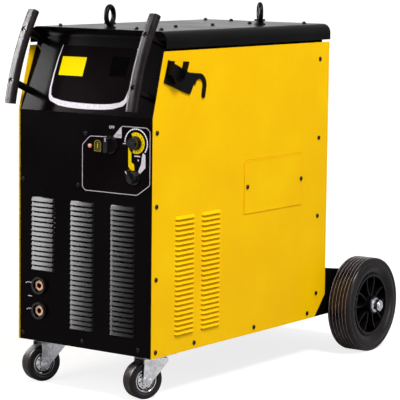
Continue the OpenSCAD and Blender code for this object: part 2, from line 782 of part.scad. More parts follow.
module output_sockets() place() color("#c98a5c") for (s = socket_at) translate([s[0], 0, s[1]]) difference() {
    union() {
        translate([0, front_y - socket_out + 3, 0]) rotate([-90, 30, 0])
            cylinder(d = socket_d * 0.64, h = 12, $fn = 6);
        rod_y(socket_d * 0.5, front_y - socket_out + 10, front_y + 46);
    }
    rod_y(socket_bore_d, front_y - socket_out - 1, front_y - socket_out + 3 + socket_bore_l);
}

module socket_collars() place() color(satin_black) for (s = socket_at) translate([s[0], 0, s[1]])
difference() {
    union() {
        rod_y(socket_d, front_y - socket_out, front_y);
        rod_y(socket_d - 8 - 2 * hole_gap, front_y - 1, front_y + 30);
        rod_y(socket_d, front_y + sheet, front_y + sheet + 6);
    }
    rod_y(socket_d * 0.76, front_y - socket_out - 1, front_y - socket_out + 15);
    rod_y(socket_d * 0.5 + 2 * run_gap, front_y - 2, front_y + 31);
}

// ---------------------------------------------------------------- rear running gear

bracket_end = axle_y + 42;
bracket_start = rear_y + sheet + seam;
cheek_back_z = base_z + cheek_h - cheek_fall * (bracket_end - 30 - bracket_start);
deck_z = axle_z + axle_d / 2 + 4;

// A wheel bracket: a flange bolted to the rear face and a cheek that carries the axle
module wheel_bracket() difference() {
    union() {
        translate([bracket_x - tray_t / 2, 0, 0]) along_x(tray_t) polygon([
            [bracket_start, base_z], [bracket_start, base_z + cheek_h],
            [bracket_end - 30, cheek_back_z], [bracket_end, cheek_back_z - 16],
            [bracket_end, base_z + 10], [bracket_end - 14, base_z - 6], [axle_y - 40, base_z - 6],
            [axle_y - 60, base_z]
        ]);
        block([bracket_x - 34, bracket_start, base_z], [bracket_x, bracket_start + tray_t, base_z + cheek_h]);
    }
    translate([0, axle_y, axle_z]) rod_x(axle_d + 2 * run_gap, bracket_x - tray_t - 1, bracket_x + 1);
}

module wheel_bracket_right() place() color(satin_black) wheel_bracket();
module wheel_bracket_left() place() color(satin_black) mirror([1, 0, 0]) wheel_bracket();

deck_x = bracket_x - tray_t - seam;
deck_start = bracket_start + tray_t + seam;

module bottle_shelf() place() color(satin_black) {
    block([-deck_x, deck_start, deck_z], [deck_x, deck_start + shelf_depth, deck_z + tray_t]);
    mirror_x() block(
        [deck_x - tray_t, deck_start, deck_z],
        [deck_x, deck_start + shelf_depth, deck_z + shelf_rim]
    );
    block(
        [-deck_x, deck_start + shelf_depth - tray_t, deck_z],
        [deck_x, deck_start + shelf_depth, deck_z + shelf_rim]
    );
}

cradle_z = 640;

// V-shaped rest for a gas bottle on the rear face
module bottle_cradle() place() color(satin_black) translate([0, rear_y + sheet, cradle_z]) difference() {
    block([-85, 0, 0], [85, 55, 40]);
    translate([0, 115 + 12, -1]) cylinder(d = 230, h = 42);
    mirror_x() translate([72, 40, -1]) cylinder(d = 8, h = 42);
}

module rear_axle() place() color(zinc) translate([0, axle_y, axle_z]) rod_x(axle_d, -axle_end, axle_end);

module axle_nuts() place() color(zinc) mirror_x() translate([0, axle_y, axle_z]) {
    out = wheel_in_x + hub_l + 2 * run_gap;
    difference() {
        union() {
            rod_x(axle_d * 1.9, out, out + washer_t);
            translate([out + washer_t, 0, 0]) rotate([0, 90, 0])
                cylinder(d = axle_d * 1.6, h = nut_t, $fn = 6);
        }
        rod_x(axle_d, out - 1, out + washer_t + nut_t + 1);
    }
    // Spacer between bracket and hub
    difference() {
        rod_x(axle_d * 1.5, bracket_x, wheel_in_x - run_gap);
        rod_x(axle_d, bracket_x - 1, wheel_in_x + 1);
    }
}

tyre_shoulder = 14;
tread_grooves = 6;
tread_pitch = 10;
// The wall's slope to the rim, as height above the rim and depth behind the tyre's widest point
tyre_wall = [[0, 10], [4, 7.5], [9, 4], [15, 1.5], [22, 0.3]];

// Tyre about X, its middle at x = 0: rounded shoulders, a bulged wall and grooves round the tread
module rear_tyre() rotate([0, 90, 0]) rotate_extrude($fn = 96) difference() {
    half = wheel_w / 2;
    r = tyre_shoulder;
    polygon(concat(
        [for (p = tyre_wall) [wheel_rim_d / 2 + p[0], p[1] - half]],
        [for (a = [-90:15:0]) [wheel_d / 2 - r + r * cos(a), r - half + r * sin(a)]],
        [for (a = [0:15:90]) [wheel_d / 2 - r + r * cos(a), half - r + r * sin(a)]],
        [for (i = [len(tyre_wall) - 1:-1:0]) [wheel_rim_d / 2 + tyre_wall[i][0], half - tyre_wall[i][1]]]
    ));
    for (i = [0:tread_grooves - 1])
        translate([wheel_d / 2 - 3, (i - (tread_grooves - 1) / 2) * tread_pitch - 1]) square([4, 2]);
}

rib_count = 10;
rib_t = 3;
rib_bow = 80;
rib_in = 11;

// Plastic wheel centre: rim, web, hub and ribs on both faces, bowed in turn to one side and the other
module rear_hub() {
    rotate([0, 90, 0]) rotate_extrude($fn = 96) {
        r = wheel_rim_d / 2;
        bore = axle_d / 2 + run_gap;
        translate([bore, -hub_l / 2]) square([13, hub_l]);
        translate([bore + 1, -5]) square([r - bore - 2, 8]);
        translate([r - 6, -wheel_w / 2 + 8]) square([6, wheel_w - 16]);
    }
    for (i = [0:rib_count - 1]) rotate([i * 360 / rib_count, 0, 0]) translate([-wheel_w / 2 + rib_in, 0, 0])
        rotate([90, 0, 90]) linear_extrude(wheel_w - 2 * rib_in) intersection() {
            c = [47, i % 2 == 0 ? rib_bow : -rib_bow];
            difference() {
                translate(c) circle(rib_bow + rib_t / 2);
                translate(c) circle(rib_bow - rib_t / 2);
            }
            translate([18, -20]) square([wheel_rim_d / 2 - 17, 40]);
            circle(wheel_rim_d / 2 - 6.8);
        }
}

module at_wheel(side) place() translate([side * (wheel_in_x + hub_l / 2), axle_y, axle_z]) children();

module rear_tyre_right() at_wheel(1) color(rubber) rear_tyre();
module rear_hub_right() at_wheel(1) color(gloss_black) rear_hub();
module rear_tyre_left() at_wheel(-1) color(rubber) rear_tyre();
module rear_hub_left() at_wheel(-1) color(gloss_black) rear_hub();

// ---------------------------------------------------------------- casters

// Local frame of a caster: swivel on Z at the origin, axle along X at y = -trail
module at_caster(side) place() translate([side * caster_x, caster_y, 0])
    rotate([0, 0, -caster_turn]) children();

race_gap = 0.5;
plate_drop = caster_plate_z - crown_z - fork_t;

module caster_plates() color(zinc) for (side = [-1, 1]) at_caster(side) difference() {
    union() {
        rotate([0, 0, caster_turn]) block([-42, -36, caster_plate_z], [42, 36, base_z]);
        translate([0, 0, crown_z + fork_t + race_gap]) cylinder(d = race_d, h = plate_drop - race_gap + 1);
        translate([0, 0, crown_z - 1]) cylinder(d = 14, h = plate_drop + fork_t + 1);
    }
    rotate([0, 0, caster_turn]) for (x = [-1, 1]) for (y = [-1, 1])
        translate([x * 30, y * 25, caster_plate_z - 1]) cylinder(d = 8.4, h = fork_t + 2);
}

leg_in = hub_half + 0.3;
crown_front = 12 - caster_trail;

module caster_fork() color(zinc) difference() {
    union() {
        mirror_x() translate([leg_in + fork_t / 2, 0, 0]) along_x(fork_t) {
            polygon([
                [26, crown_z + fork_t], [26, crown_z - 6], [-caster_trail + 12, caster_d / 2 - 4],
                [-caster_trail - 12, caster_d / 2 - 2], [-caster_trail - 9, crown_z + fork_t]
            ]);
            translate([-caster_trail, caster_d / 2]) circle(13);
        }
        block([-leg_in - 1, crown_front, crown_z], [leg_in + 1, 26, crown_z + fork_t]);
    }
    translate([0, 0, crown_z - 1]) cylinder(d = 14 + 2 * run_gap, h = fork_t + 2);
    translate([0, -caster_trail, caster_d / 2]) rod_x(caster_axle_d + 2 * run_gap, -leg_in - 5, leg_in + 5);
}

module caster_bolt() color(zinc) translate([0, -caster_trail, caster_d / 2]) {
    reach = leg_in + fork_t + 0.2;
    rod_x(caster_axle_d, -reach - 1, reach + 9);
    translate([reach, 0, 0]) rotate([0, 90, 0]) cylinder(d = caster_axle_d * 1.55, h = 7, $fn = 6);
    translate([-reach - 6, 0, 0]) rotate([0, 90, 0]) cylinder(d = caster_axle_d * 1.55, h = 6, $fn = 6);
}

caster_rim_r = 28.5;
caster_shoulder = 5;

module caster_rim() color(zinc) translate([0, -caster_trail, caster_d / 2]) rotate([0, 90, 0])
rotate_extrude($fn = 64) {
    bore = caster_axle_d / 2 + run_gap;
    translate([bore, -hub_half]) square([6, 2 * hub_half]);
    translate([bore + 1, -caster_w / 2 + 5]) square([21 - bore, caster_w - 10]);
    translate([bore + 1, -caster_w / 2 + 9]) square([caster_rim_r - bore - 2, caster_w - 18]);
    translate([caster_rim_r - 3, -caster_w / 2 + 2]) square([3, caster_w - 4]);
}

module caster_tyre() color(rubber) translate([0, -caster_trail, caster_d / 2]) rotate([0, 90, 0])
    rotate_extrude($fn = 64) {
        q = caster_shoulder;
        r = caster_d / 2 - q;
        half = caster_w / 2 - q;
        polygon(concat(
            [[caster_rim_r, -caster_w / 2 + 2], [caster_rim_r + 2, -caster_w / 2]],
            [for (a = [-90:15:0]) [r + q * cos(a), q * sin(a) - half]],
            [for (a = [0:15:90]) [r + q * cos(a), half + q * sin(a)]],
            [[caster_rim_r + 2, caster_w / 2], [caster_rim_r, caster_w / 2 - 2]]
        ));
    }

module caster_fork_left() at_caster(-1) caster_fork();
module caster_bolt_left() at_caster(-1) caster_bolt();
module caster_rim_left() at_caster(-1) caster_rim();
module caster_tyre_left() at_caster(-1) caster_tyre();
module caster_fork_right() at_caster(1) caster_fork();
module caster_bolt_right() at_caster(1) caster_bolt();
module caster_rim_right() at_caster(1) caster_rim();
module caster_tyre_right() at_caster(1) caster_tyre();

// ---------------------------------------------------------------- inside the cabinet

// A three-limb laminated core, standing on its feet
module laminated_core(w, h, stack, limb, foot) {
    difference() {
        block([-w / 2, -stack / 2, foot], [w / 2, stack / 2, foot + h]);
        for (s = [-1, 1]) block(
            [s > 0 ? limb / 2 : limb - w / 2, -stack, foot + limb],
            [s > 0 ? w / 2 - limb : -limb / 2, stack, foot + h - limb]
        );
    }
    for (s = [-1, 1]) for (z = [0, foot + h - limb * 0.8]) block(
        [-w / 2, s > 0 ? stack / 2 : -stack / 2 - 5, z],
        [w / 2, s > 0 ? stack / 2 + 5 : -stack / 2, z + foot + limb * 0.6]
    );
    for (s = [-1, 1]) block(
        [-w / 2, s > 0 ? stack / 2 : -stack / 2 - 25, 0], [w / 2, s > 0 ? stack / 2 + 25 : -stack / 2, 5]
    );
}

// A coil with round corners round a limb
module limb_coil(limb, stack, build, h) linear_extrude(h) difference() {
    round_rect([limb + 2 * (coil_gap + build), stack + 2 * (coil_gap + build)], build * 0.8);
    square([limb + 2 * coil_gap, stack + 2 * coil_gap], center = true);
}

window = (core_w - 3 * core_limb) / 2;
coil_build = window / 2 - coil_gap - coil_air;

module transformer_core() place() color("#5f6266") translate([0, core_y, floor_z])
    laminated_core(core_w, core_h, core_stack, core_limb, core_foot);

module transformer_coils() place() color("#9a5a2c") for (i = [-1:1])
    translate([i * (core_limb + window), core_y, floor_z + core_foot + core_limb + 0.3])
        limb_coil(core_limb, core_stack, coil_build, core_h - 2 * core_limb - 0.6);

choke_w = 150;
choke_h = 150;
choke_stack = 60;
choke_limb = 25;
choke_at = [-90, front_edge + 145];
choke_window = (choke_w - 3 * choke_limb) / 2;

module choke_core() place() color("#5f6266") translate([choke_at[0], choke_at[1], floor_z])
    laminated_core(choke_w, choke_h, choke_stack, choke_limb, core_foot);

module choke_coil() place() color("#9a5a2c")
    translate([choke_at[0], choke_at[1], floor_z + core_foot + choke_limb + 0.3])
        limb_coil(choke_limb, choke_stack, choke_window - coil_gap - coil_air, choke_h - 2 * choke_limb - 0.6);

heatsink_at = [60, shelf_end - 155];
heatsink = [180, 200, 90];
fin_count = 9;

module rectifier_heatsink() place() color("#c4c6ca") translate([heatsink_at[0], heatsink_at[1], shelf_z]) {
    block(
        [-heatsink[0] / 2, -heatsink[1] / 2, heatsink[2] - 14],
        [heatsink[0] / 2, heatsink[1] / 2, heatsink[2]]
    );
    for (i = [0:fin_count - 1]) {
        x = -heatsink[0] / 2 + 2 + i * (heatsink[0] - 4) / (fin_count - 1);
        block([x - 2, -heatsink[1] / 2, 0], [x + 2, heatsink[1] / 2, heatsink[2] - 13]);
    }
}

module rectifier_diodes() place() color("#b08d57")
    translate([heatsink_at[0], heatsink_at[1], shelf_z + heatsink[2]])
        for (x = [-1, 1]) for (y = [-1:1]) translate([x * 45, y * 60, 0]) {
            cylinder(d = 32, h = 10, $fn = 6);
            cylinder(d = 22, h = 26);
            cylinder(d = 8, h = 46);
        }

fan_ring_t = 2;
fan_wall_half = case_x - 13;
fan_hub_d = 90;
fan_open = fan_d + 2 * fan_gap;

module fan_ring() place() color(satin_black) translate([0, fan_y, fan_z]) difference() {
    union() {
        block(
            [-fan_wall_half, 0, floor_z - fan_z],
            [fan_wall_half, fan_ring_t, shelf_z - angle_t - fan_z - 1]
        );
        rod_y(fan_open + 2 * fan_ring_t, -35, 1);
        for (a = [0, 120, 240]) rotate([0, a, 0]) block([-8, 0, 0], [8, 4, fan_open / 2 + 10]);
        rod_y(fan_hub_d, 0, 4);
    }
    difference() {
        rod_y(fan_open, -36, 5);
        rod_y(fan_hub_d, -40, 6);
        for (a = [0, 120, 240]) rotate([0, a, 0]) block([-8, 0, 0], [8, 4, fan_open / 2 + 10]);
    }
    rod_y(fan_hub_d, -40, 0);
    rod_y(14, -40, 6);
}

module fan_motor() place() color("#3a3c40") translate([0, fan_y + 4, fan_z]) difference() {
    union() {
        rod_y(84, 0, 60);
        rod_y(30, 59, 66);
    }
    rod_y(2 * (5 + run_gap), -1, 40);
}

blade_turn = 28;

module fan_rotor() place() color("#23272b") translate([0, fan_y, fan_z]) {
    rod_y(80, -30, -2);
    rod_y(10, -3, 40);
    for (i = [0:fan_blades - 1]) rotate([0, i * 360 / fan_blades, 0]) translate([0, -16, 38])
        rotate([0, 0, blade_turn]) intersection() {
            block([-30, -1.25, 0], [30, 1.25, fan_d / 2 - 38]);
            translate([0, 0, -38]) rod_y(fan_d, -60, 60);
        }
}

side_gear_x = 85 - body_w / 2;
contactor_w = 80;
contactor_h = 60;
contactor_step = 6;

// Contactor: a base with the coil housing on it
module contactor() place() color("#2f2d30") translate([side_gear_x, shelf_start + 100, shelf_z]) {
    block([-contactor_w / 2, -45, 0], [contactor_w / 2, 45, contactor_h]);
    block(
        [contactor_step - contactor_w / 2, -30, contactor_h - 1],
        [contactor_w / 2 - contactor_step, 30, contactor_h + 35]
    );
}

small_core_w = 100;
small_core_h = 84;
small_stack = 40;
small_limb = 18;
small_foot = 8;
small_build = 20;

module control_transformer() place() color("#5f6266")
    translate([side_gear_x, shelf_end - 155, shelf_z]) {
        laminated_core(small_core_w, small_core_h, small_stack, small_limb, small_foot);
        translate([0, 0, small_foot + small_limb + 0.3])
            limb_coil(small_limb, small_stack, small_build, small_core_h - 2 * small_limb - 0.6);
    }

board_w = 120;
board_h = 120;
board_t = 1.6;
board_foot = 8;

// Control board on two feet, with relays and a row of terminals
module control_board() place() color("#2f6b3c") translate([20, shelf_start + 60, shelf_z]) {
    block([-board_w / 2, 0, board_foot], [board_w / 2, board_t, board_foot + board_h]);
    for (x = [-50, 38]) block([x, -4, 0], [x + 12, 6, board_foot]);
    for (x = [-40, 0, 30]) block([x, -14, 60], [x + 16, 0, 76]);
    block([10 - board_w / 2, -20, 20], [board_w / 2 - 10, 0, 38]);
}

module cable_gland() place() color(satin_black) translate([gland_at[0], rear_y + sheet, gland_at[1]])
difference() {
    union() {
        rod_y(gland_d, -14, 16);
        translate([0, 0, 0]) rotate([-90, 0, 0]) cylinder(d = gland_d * 1.35, h = 9, $fn = 6);
        rod_y(gland_d * 1.15, 8, 26);
        translate([0, -sheet - 6, 0]) rotate([-90, 0, 0]) cylinder(d = gland_d * 1.35, h = 6, $fn = 6);
    }
    rod_y(16, -15, 27);
}

// ---------------------------------------------------------------- nodes

base_tray();
inner_frame();
side_panel_left();
side_panel_right();
top_cover();
front_panel();
rear_panel();
bezel();
bezel_overlay();
display_window();
control_label();
access_plate();
torch_holder();
handle_grips();
handle_arms();
handle_screws();
lifting_eyes();
side_screws();
case_screws();
main_switch_knob();
main_switch_body();
fine_selector_knob();
fine_selector_body();
range_selector_knob();
range_selector_body();
power_lamp();
output_sockets();
socket_collars();
wheel_bracket_left();
wheel_bracket_right();
bottle_shelf();
bottle_cradle();
rear_axle();
axle_nuts();
rear_tyre_left();
rear_hub_left();
rear_tyre_right();
rear_hub_right();
caster_plates();
caster_fork_left();
caster_bolt_left();
caster_rim_left();
caster_tyre_left();
caster_fork_right();
caster_bolt_right();
caster_rim_right();
caster_tyre_right();
transformer_core();
transformer_coils();
choke_core();
choke_coil();
rectifier_heatsink();
rectifier_diodes();
fan_ring();
fan_motor();
fan_rotor();
contactor();
control_transformer();
control_board();
cable_gland();
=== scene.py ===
import json
import math
import bpy
import bmesh
from mathutils import Matrix, Vector


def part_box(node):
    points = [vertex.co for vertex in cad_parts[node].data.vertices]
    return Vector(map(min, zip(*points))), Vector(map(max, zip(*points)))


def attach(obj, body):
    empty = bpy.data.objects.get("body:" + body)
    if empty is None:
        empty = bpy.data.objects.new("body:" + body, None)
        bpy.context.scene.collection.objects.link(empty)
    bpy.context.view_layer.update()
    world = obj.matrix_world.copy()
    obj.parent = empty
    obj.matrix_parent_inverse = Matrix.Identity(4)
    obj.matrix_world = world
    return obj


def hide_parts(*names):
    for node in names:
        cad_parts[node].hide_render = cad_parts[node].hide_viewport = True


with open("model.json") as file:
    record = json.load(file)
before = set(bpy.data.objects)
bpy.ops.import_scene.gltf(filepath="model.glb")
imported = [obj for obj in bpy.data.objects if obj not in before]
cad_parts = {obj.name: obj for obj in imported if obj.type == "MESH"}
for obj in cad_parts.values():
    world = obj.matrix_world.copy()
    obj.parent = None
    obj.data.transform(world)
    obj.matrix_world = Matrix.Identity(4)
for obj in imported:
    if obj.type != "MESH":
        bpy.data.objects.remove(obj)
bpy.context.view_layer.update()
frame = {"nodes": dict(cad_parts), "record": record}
nodes = frame["nodes"]
slotOf = {item["node"]: item["material_slot"] for item in frame["record"]["subparts"]}
bodyOf = {name: body for body, names in frame["record"]["behaviour"]["bodies"].items() for name in names}
mm = 0.001
print("frame loaded:", len(nodes), "nodes")

# places in metres, the roll in degrees and the lens in mm
camera = {"place": (2.994, -4.117, 1.0735), "target": (0.0446, -0.0579, 0.4307), "roll": 0.64, "lens": 180.2}
cameraData = bpy.data.cameras.new("camera")
cameraData.lens = camera["lens"]
cameraData.clip_end = 200
cameraObject = bpy.data.objects.new("camera", cameraData)
bpy.context.scene.collection.objects.link(cameraObject)
toEye = (Vector(camera["place"]) - Vector(camera["target"])).normalized()
right = Vector((0, 0, 1)).cross(toEye).normalized()
up = toEye.cross(right)
roll = math.radians(camera["roll"])
rolledRight = math.cos(roll) * right + math.sin(roll) * up
rolledUp = math.cos(roll) * up - math.sin(roll) * right
turned = Matrix((rolledRight, rolledUp, toEye)).transposed().to_4x4()
cameraObject.matrix_world = Matrix.Translation(camera["place"]) @ turned
bpy.context.scene.camera = cameraObject
bpy.context.scene.view_settings.view_transform = "Standard"


def hexColour(code):  # sRGB hex to the linear values that the shaders take
    parts = [int(code[i:i + 2], 16) / 255 for i in (0, 2, 4)]
    return [p / 12.92 if p <= 0.04045 else ((p + 0.055) / 1.055) ** 2.4 for p in parts] + [1]


def addNode(tree, kind, values=None, links=None, **settings):
    node = tree.nodes.new("ShaderNode" + kind)
    for name, value in settings.items():
        setattr(node, name, value)
    for name, value in (values or {}).items():
        node.inputs[name].default_value = value
    for name, source in (links or {}).items():
        tree.links.new(source, node.inputs[name])
    return node


studio = {
    "ambient": 0.45, "backdrop": 1.0,  # what lights the object, and what the camera sees behind it
    "floor": "A8A8A8", "floorSize": 120,
    "glowNear": 0.8, "glowFar": 0.92, "near": 1.2, "far": 5.0,  # the floor's own light, and where it changes
}

world = bpy.data.worlds.new("studio")
bpy.context.scene.world = world
world.use_nodes = True
tree = world.node_tree
tree.nodes.clear()
rays = addNode(tree, "LightPath")
seen = addNode(tree, "Math", links={0: rays.outputs["Is Camera Ray"], 1: rays.outputs["Is Transmission Ray"]},
               operation="MAXIMUM")
strength = addNode(tree, "MapRange", {"To Min": studio["ambient"], "To Max": studio["backdrop"]},
                   {"Value": seen.outputs[0]})
sky = addNode(tree, "Background", {"Color": (1, 1, 1, 1)}, {"Strength": strength.outputs[0]})
addNode(tree, "OutputWorld", links={"Surface": sky.outputs[0]})

bpy.ops.mesh.primitive_plane_add(size=studio["floorSize"], location=(0, 0, 0))
floor = bpy.context.object
floor.name = "floor"
# matt paper that takes a soft shadow near the wheels and fades into the white behind
floorPaint = bpy.data.materials.new("white studio floor")
floorPaint.use_nodes = True
tree = floorPaint.node_tree
tree.nodes.clear()
rays = addNode(tree, "LightPath")
place = addNode(tree, "TexCoord")
distance = addNode(tree, "VectorMath", links={0: place.outputs["Object"]}, operation="LENGTH")
spread = addNode(tree, "MapRange", {"From Min": studio["near"], "From Max": studio["far"],
                                    "To Min": studio["glowNear"], "To Max": studio["glowFar"]},
                 {"Value": distance.outputs["Value"]})
glowAmount = addNode(tree, "Math", links={0: rays.outputs["Is Camera Ray"], 1: spread.outputs[0]},
                     operation="MULTIPLY")
matt = addNode(tree, "BsdfDiffuse", {"Color": hexColour(studio["floor"])})
glow = addNode(tree, "Emission", {"Color": (1, 1, 1, 1)}, {"Strength": glowAmount.outputs[0]})
both = addNode(tree, "AddShader", links={0: matt.outputs[0], 1: glow.outputs[0]})
addNode(tree, "OutputMaterial", links={"Surface": both.outputs[0]})
floor.data.materials.append(floorPaint)


def addSoftbox(name, place, aim, size, radiance, lights):  # its power comes from the radiance it shows
    data = bpy.data.lights.new(name, "AREA")
    data.shape = "RECTANGLE"
    data.size, data.size_y = size
    data.energy = radiance * math.pi * size[0] * size[1]
    lamp = bpy.data.objects.new(name, data)
    bpy.context.scene.collection.objects.link(lamp)
    lamp.location = place
    lamp.rotation_euler = (Vector(aim) - Vector(place)).to_track_quat("-Z", "Y").to_euler()
    if not lights:  # only draws the sheen on black paint, plastic and metal
        lamp.visible_diffuse = lamp.visible_camera = False


# place, aim, width and height in metres, radiance, and whether it lights matt surfaces
lamps = {
    "right softbox": ((2.7, -0.9, 4.8), (0.2, 0, 0.5), (1.6, 1.6), 33.0, True),
    "front softbox": ((-0.6, -4.2, 2.2), (0, -0.4, 0.5), (2.2, 2.2), 4.5, True),
    "bezel strip": ((-0.92, -1.085, 1.12), (-0.17, -0.46, 1.12), (0.13, 0.5), 38.0, False),
    "louvre strip": ((-1.02, -1.05, 1.18), (-0.1, -0.46, 0.3), (0.2, 1.1), 100.0, False),
    "left softbox": ((-2.4, 0.35, 0.75), (-0.1, 0, 0.5), (1.2, 1.1), 10.0, False),
    "right strip": ((4.0, 1.0, 0.7), (0.2, 0, 0.3), (1.7, 1.6), 3.2, False),
    "back softbox": ((-3.3, 4.4, 1.5), (0, 0, 0.87), (4.4, 1.7), 0.75, False),
}
for name, values in lamps.items():
    addSoftbox(name, *values)
print("camera, floor and light set")

# where in the clouds a finish is darkest, lightest, glossiest and mattest, how far crystal spots show, and
# how strong a bump is
basics = {"dark": 0.35, "light": 0.65, "glossy": 0.3, "matt": 0.7, "spots": 0.3, "bump": 0.4}


# two tones in patches, a roughness range, and a grain of a height; patch, grain, spots and height in mm
def makeFinish(name, low, high, patch, rough, grain=1.0, height=0.02, metallic=0.0, ior=1.5, specular=0.5,
               stretch=(1, 1, 1), spots=0.0, lines=None):
    material = bpy.data.materials.new(name)
    material.use_nodes = True
    tree = material.node_tree
    shader = tree.nodes["Principled BSDF"]
    shader.inputs["Metallic"].default_value = metallic
    if metallic == 0:
        shader.inputs["IOR"].default_value = ior
        shader.inputs["Specular IOR Level"].default_value = specular
    place = addNode(tree, "TexCoord")
    mapped = addNode(tree, "Mapping", {"Scale": stretch}, {"Vector": place.outputs["Object"]})
    clouds = addNode(tree, "TexNoise", {"Scale": 1000 / patch, "Detail": 4.0}, {"Vector": mapped.outputs[0]})
    shade = clouds.outputs["Fac"]
    if spots:  # crystal patches, as on zinc
        cells = addNode(tree, "TexVoronoi", {"Scale": 1000 / spots}, {"Vector": mapped.outputs[0]})
        tone = addNode(tree, "SeparateColor", links={"Color": cells.outputs["Color"]})
        blend = addNode(tree, "Mix", {"Factor": basics["spots"]}, {"A": shade, "B": tone.outputs[0]})
        shade = blend.outputs[0]
    fine = addNode(tree, "TexNoise", {"Scale": 1000 / grain, "Detail": 2.0}, {"Vector": mapped.outputs[0]})
    relief = fine.outputs["Fac"]
    if lines:  # sheets of a core or turns of wire; a wave texture of scale 1 repeats every pi / 10 metres
        rows = addNode(tree, "TexWave", {"Scale": 1000 / lines["pitch"] * math.pi / 10, "Distortion": 0.0},
                       {"Vector": place.outputs["Object"]}, bands_direction=lines["along"])
        relief = rows.outputs["Fac"]
        blend = addNode(tree, "Mix", {"Factor": lines["show"]}, {"A": shade, "B": relief})
        shade = blend.outputs[0]
    colour = addNode(tree, "ValToRGB", links={"Fac": shade})
    colour.color_ramp.elements[0].color = hexColour(low)
    colour.color_ramp.elements[0].position = basics["dark"]
    colour.color_ramp.elements[1].color = hexColour(high)
    colour.color_ramp.elements[1].position = basics["light"]
    gloss = addNode(tree, "MapRange", {"From Min": basics["glossy"], "From Max": basics["matt"],
                                       "To Min": rough[0], "To Max": rough[1]},
                    {"Value": clouds.outputs["Fac"]})
    bump = addNode(tree, "Bump", {"Strength": basics["bump"], "Distance": height * mm}, {"Height": relief})
    tree.links.new(colour.outputs[0], shader.inputs["Base Color"])
    tree.links.new(gloss.outputs[0], shader.inputs["Roughness"])
    tree.links.new(bump.outputs[0], shader.inputs["Normal"])
    return material


finishes = {
    # even, slightly orange-peeled deep yellow
    "yellow_paint": makeFinish("yellow powder coat on steel", "F6BE00", "FAC600", 180, (0.34, 0.42), 2.5,
                               0.02, specular=0.05),
    # near black, mirrors the strip lights with a soft edge
    "black_gloss_paint": makeFinish("black gloss powder coat", "060304", "090607", 150, (0.2, 0.23), 2.5,
                                    0.002, specular=0.045),
    # black with a duller sheen, so that the cover's top greys out at a low angle
    "black_satin_paint": makeFinish("black satin powder coat", "060405", "0A0809", 120, (0.28, 0.34), 1.5,
                                    0.008, specular=0.1),
    # very dark grey film with a fine tooth
    "overlay_film": makeFinish("polyester overlay film", "0D090B", "130E10", 150, (0.24, 0.3), 0.8, 0.003,
                               specular=0.004),
    # black and glassy
    "dark_window": makeFinish("smoked acrylic window", "020202", "040304", 60, (0.04, 0.08), 3, 0.001,
                              specular=0.02),
    # dark warm grey, softly moulded, lighter on its lit flank
    "grip_plastic": makeFinish("moulded grip nylon", "130C0E", "1C1417", 25, (0.3, 0.4), 0.8, 0.02,
                               specular=0.14),
    # black heads with a small glint
    "black_screws": makeFinish("black oxide screws", "080708", "131113", 8, (0.2, 0.3), 1.2, 0.01,
                               specular=0.25),
    # black knobs with a soft sheen on their edges
    "black_plastic": makeFinish("moulded black ABS", "0E0C0E", "171518", 20, (0.13, 0.2), 0.8, 0.008,
                                specular=0.7),
    # dull mid grey
    "switch_plastic": makeFinish("moulded grey polyamide", "2B2A2D", "343236", 20, (0.5, 0.6), 0.8, 0.03),
    # orange lens with pale pink patches painted in as highlights, wet-looking
    "lamp_lens": makeFinish("orange lamp polycarbonate", "DC6C3C", "FFCDB0", 5, (0.1, 0.16), 2, 0.01,
                            ior=1.58),
    # bright pinkish turned copper
    "copper": makeFinish("turned copper", "F6B48C", "FFD4B0", 6, (0.3, 0.42), 0.8, 0.02, metallic=1.0),
    # cool grey plating with a cloudy, spangled tone
    "zinc": makeFinish("bright zinc plate", "D6D8E0", "F4F5FA", 14, (0.2, 0.32), 1.2, 0.01, metallic=1.0,
                       spots=7),
    # brown-black rubber with a satin sheen
    "tyre_rubber": makeFinish("moulded tyre rubber", "0C0709", "170E12", 30, (0.24, 0.34), 0.9, 0.015,
                              specular=0.3),
    # deep black moulding with thin lit ribs
    "hub_plastic": makeFinish("moulded hub polypropylene", "070607", "0C0A0C", 25, (0.26, 0.36), 0.8, 0.02,
                              specular=0.25),
    # stacked sheets, seen as fine lines on the core's side, drawn three times as coarse to show
    "core_steel": makeFinish("laminated core steel", "3E4044", "74777D", 20, (0.4, 0.55), 0.8, 0.12,
                             metallic=0.9, lines={"pitch": 1.5, "along": "Y", "show": 0.6}),
    # turns of varnished wire
    "winding": makeFinish("enamelled copper winding", "6A3412", "B87238", 12, (0.25, 0.4), 2.0, 0.5,
                          lines={"pitch": 3.0, "along": "Z", "show": 0.6}),
    # pale grey with faint lines along the fins
    "heatsink_aluminium": makeFinish("extruded aluminium", "A9ABAF", "C4C6CA", 30, (0.3, 0.42), 0.8, 0.02,
                                     metallic=1.0, stretch=(1, 0.1, 1)),
    # dull brassy metal
    "diode_metal": makeFinish("tinned copper diode case", "A68450", "BC9A66", 8, (0.25, 0.38), 0.8, 0.02,
                              metallic=1.0),
    # even dark grey, slightly glossy
    "motor_paint": makeFinish("grey motor enamel", "34363A", "404246", 30, (0.35, 0.48), 1.2, 0.03),
    # blue-black and matt
    "fan_plastic": makeFinish("moulded fan nylon", "1E2226", "282C30", 25, (0.4, 0.52), 0.8, 0.03),
    # green with paler tracks running up it
    "board_laminate": makeFinish("green board laminate", "1F5229", "3C8050", 5, (0.25, 0.35), 1.6, 0.03,
                                 stretch=(1, 1, 0.4)),
}
for name, node in nodes.items():
    node.data.materials.clear()
    node.data.materials.append(finishes[slotOf[name]])
# pale brown lines on the rear tread, painted highlights on the rib edges; darker brown bands on the casters,
# painted highlights too
treadHighlightRubber = makeFinish("worn rubber", "9A8888", "C0B0B2", 12, (0.5, 0.6), 1.0, 0.02, specular=0.2)
casterHighlightRubber = makeFinish("dusty rubber", "3E302C", "54423C", 12, (0.5, 0.6), 1.0, 0.02, specular=0.2)
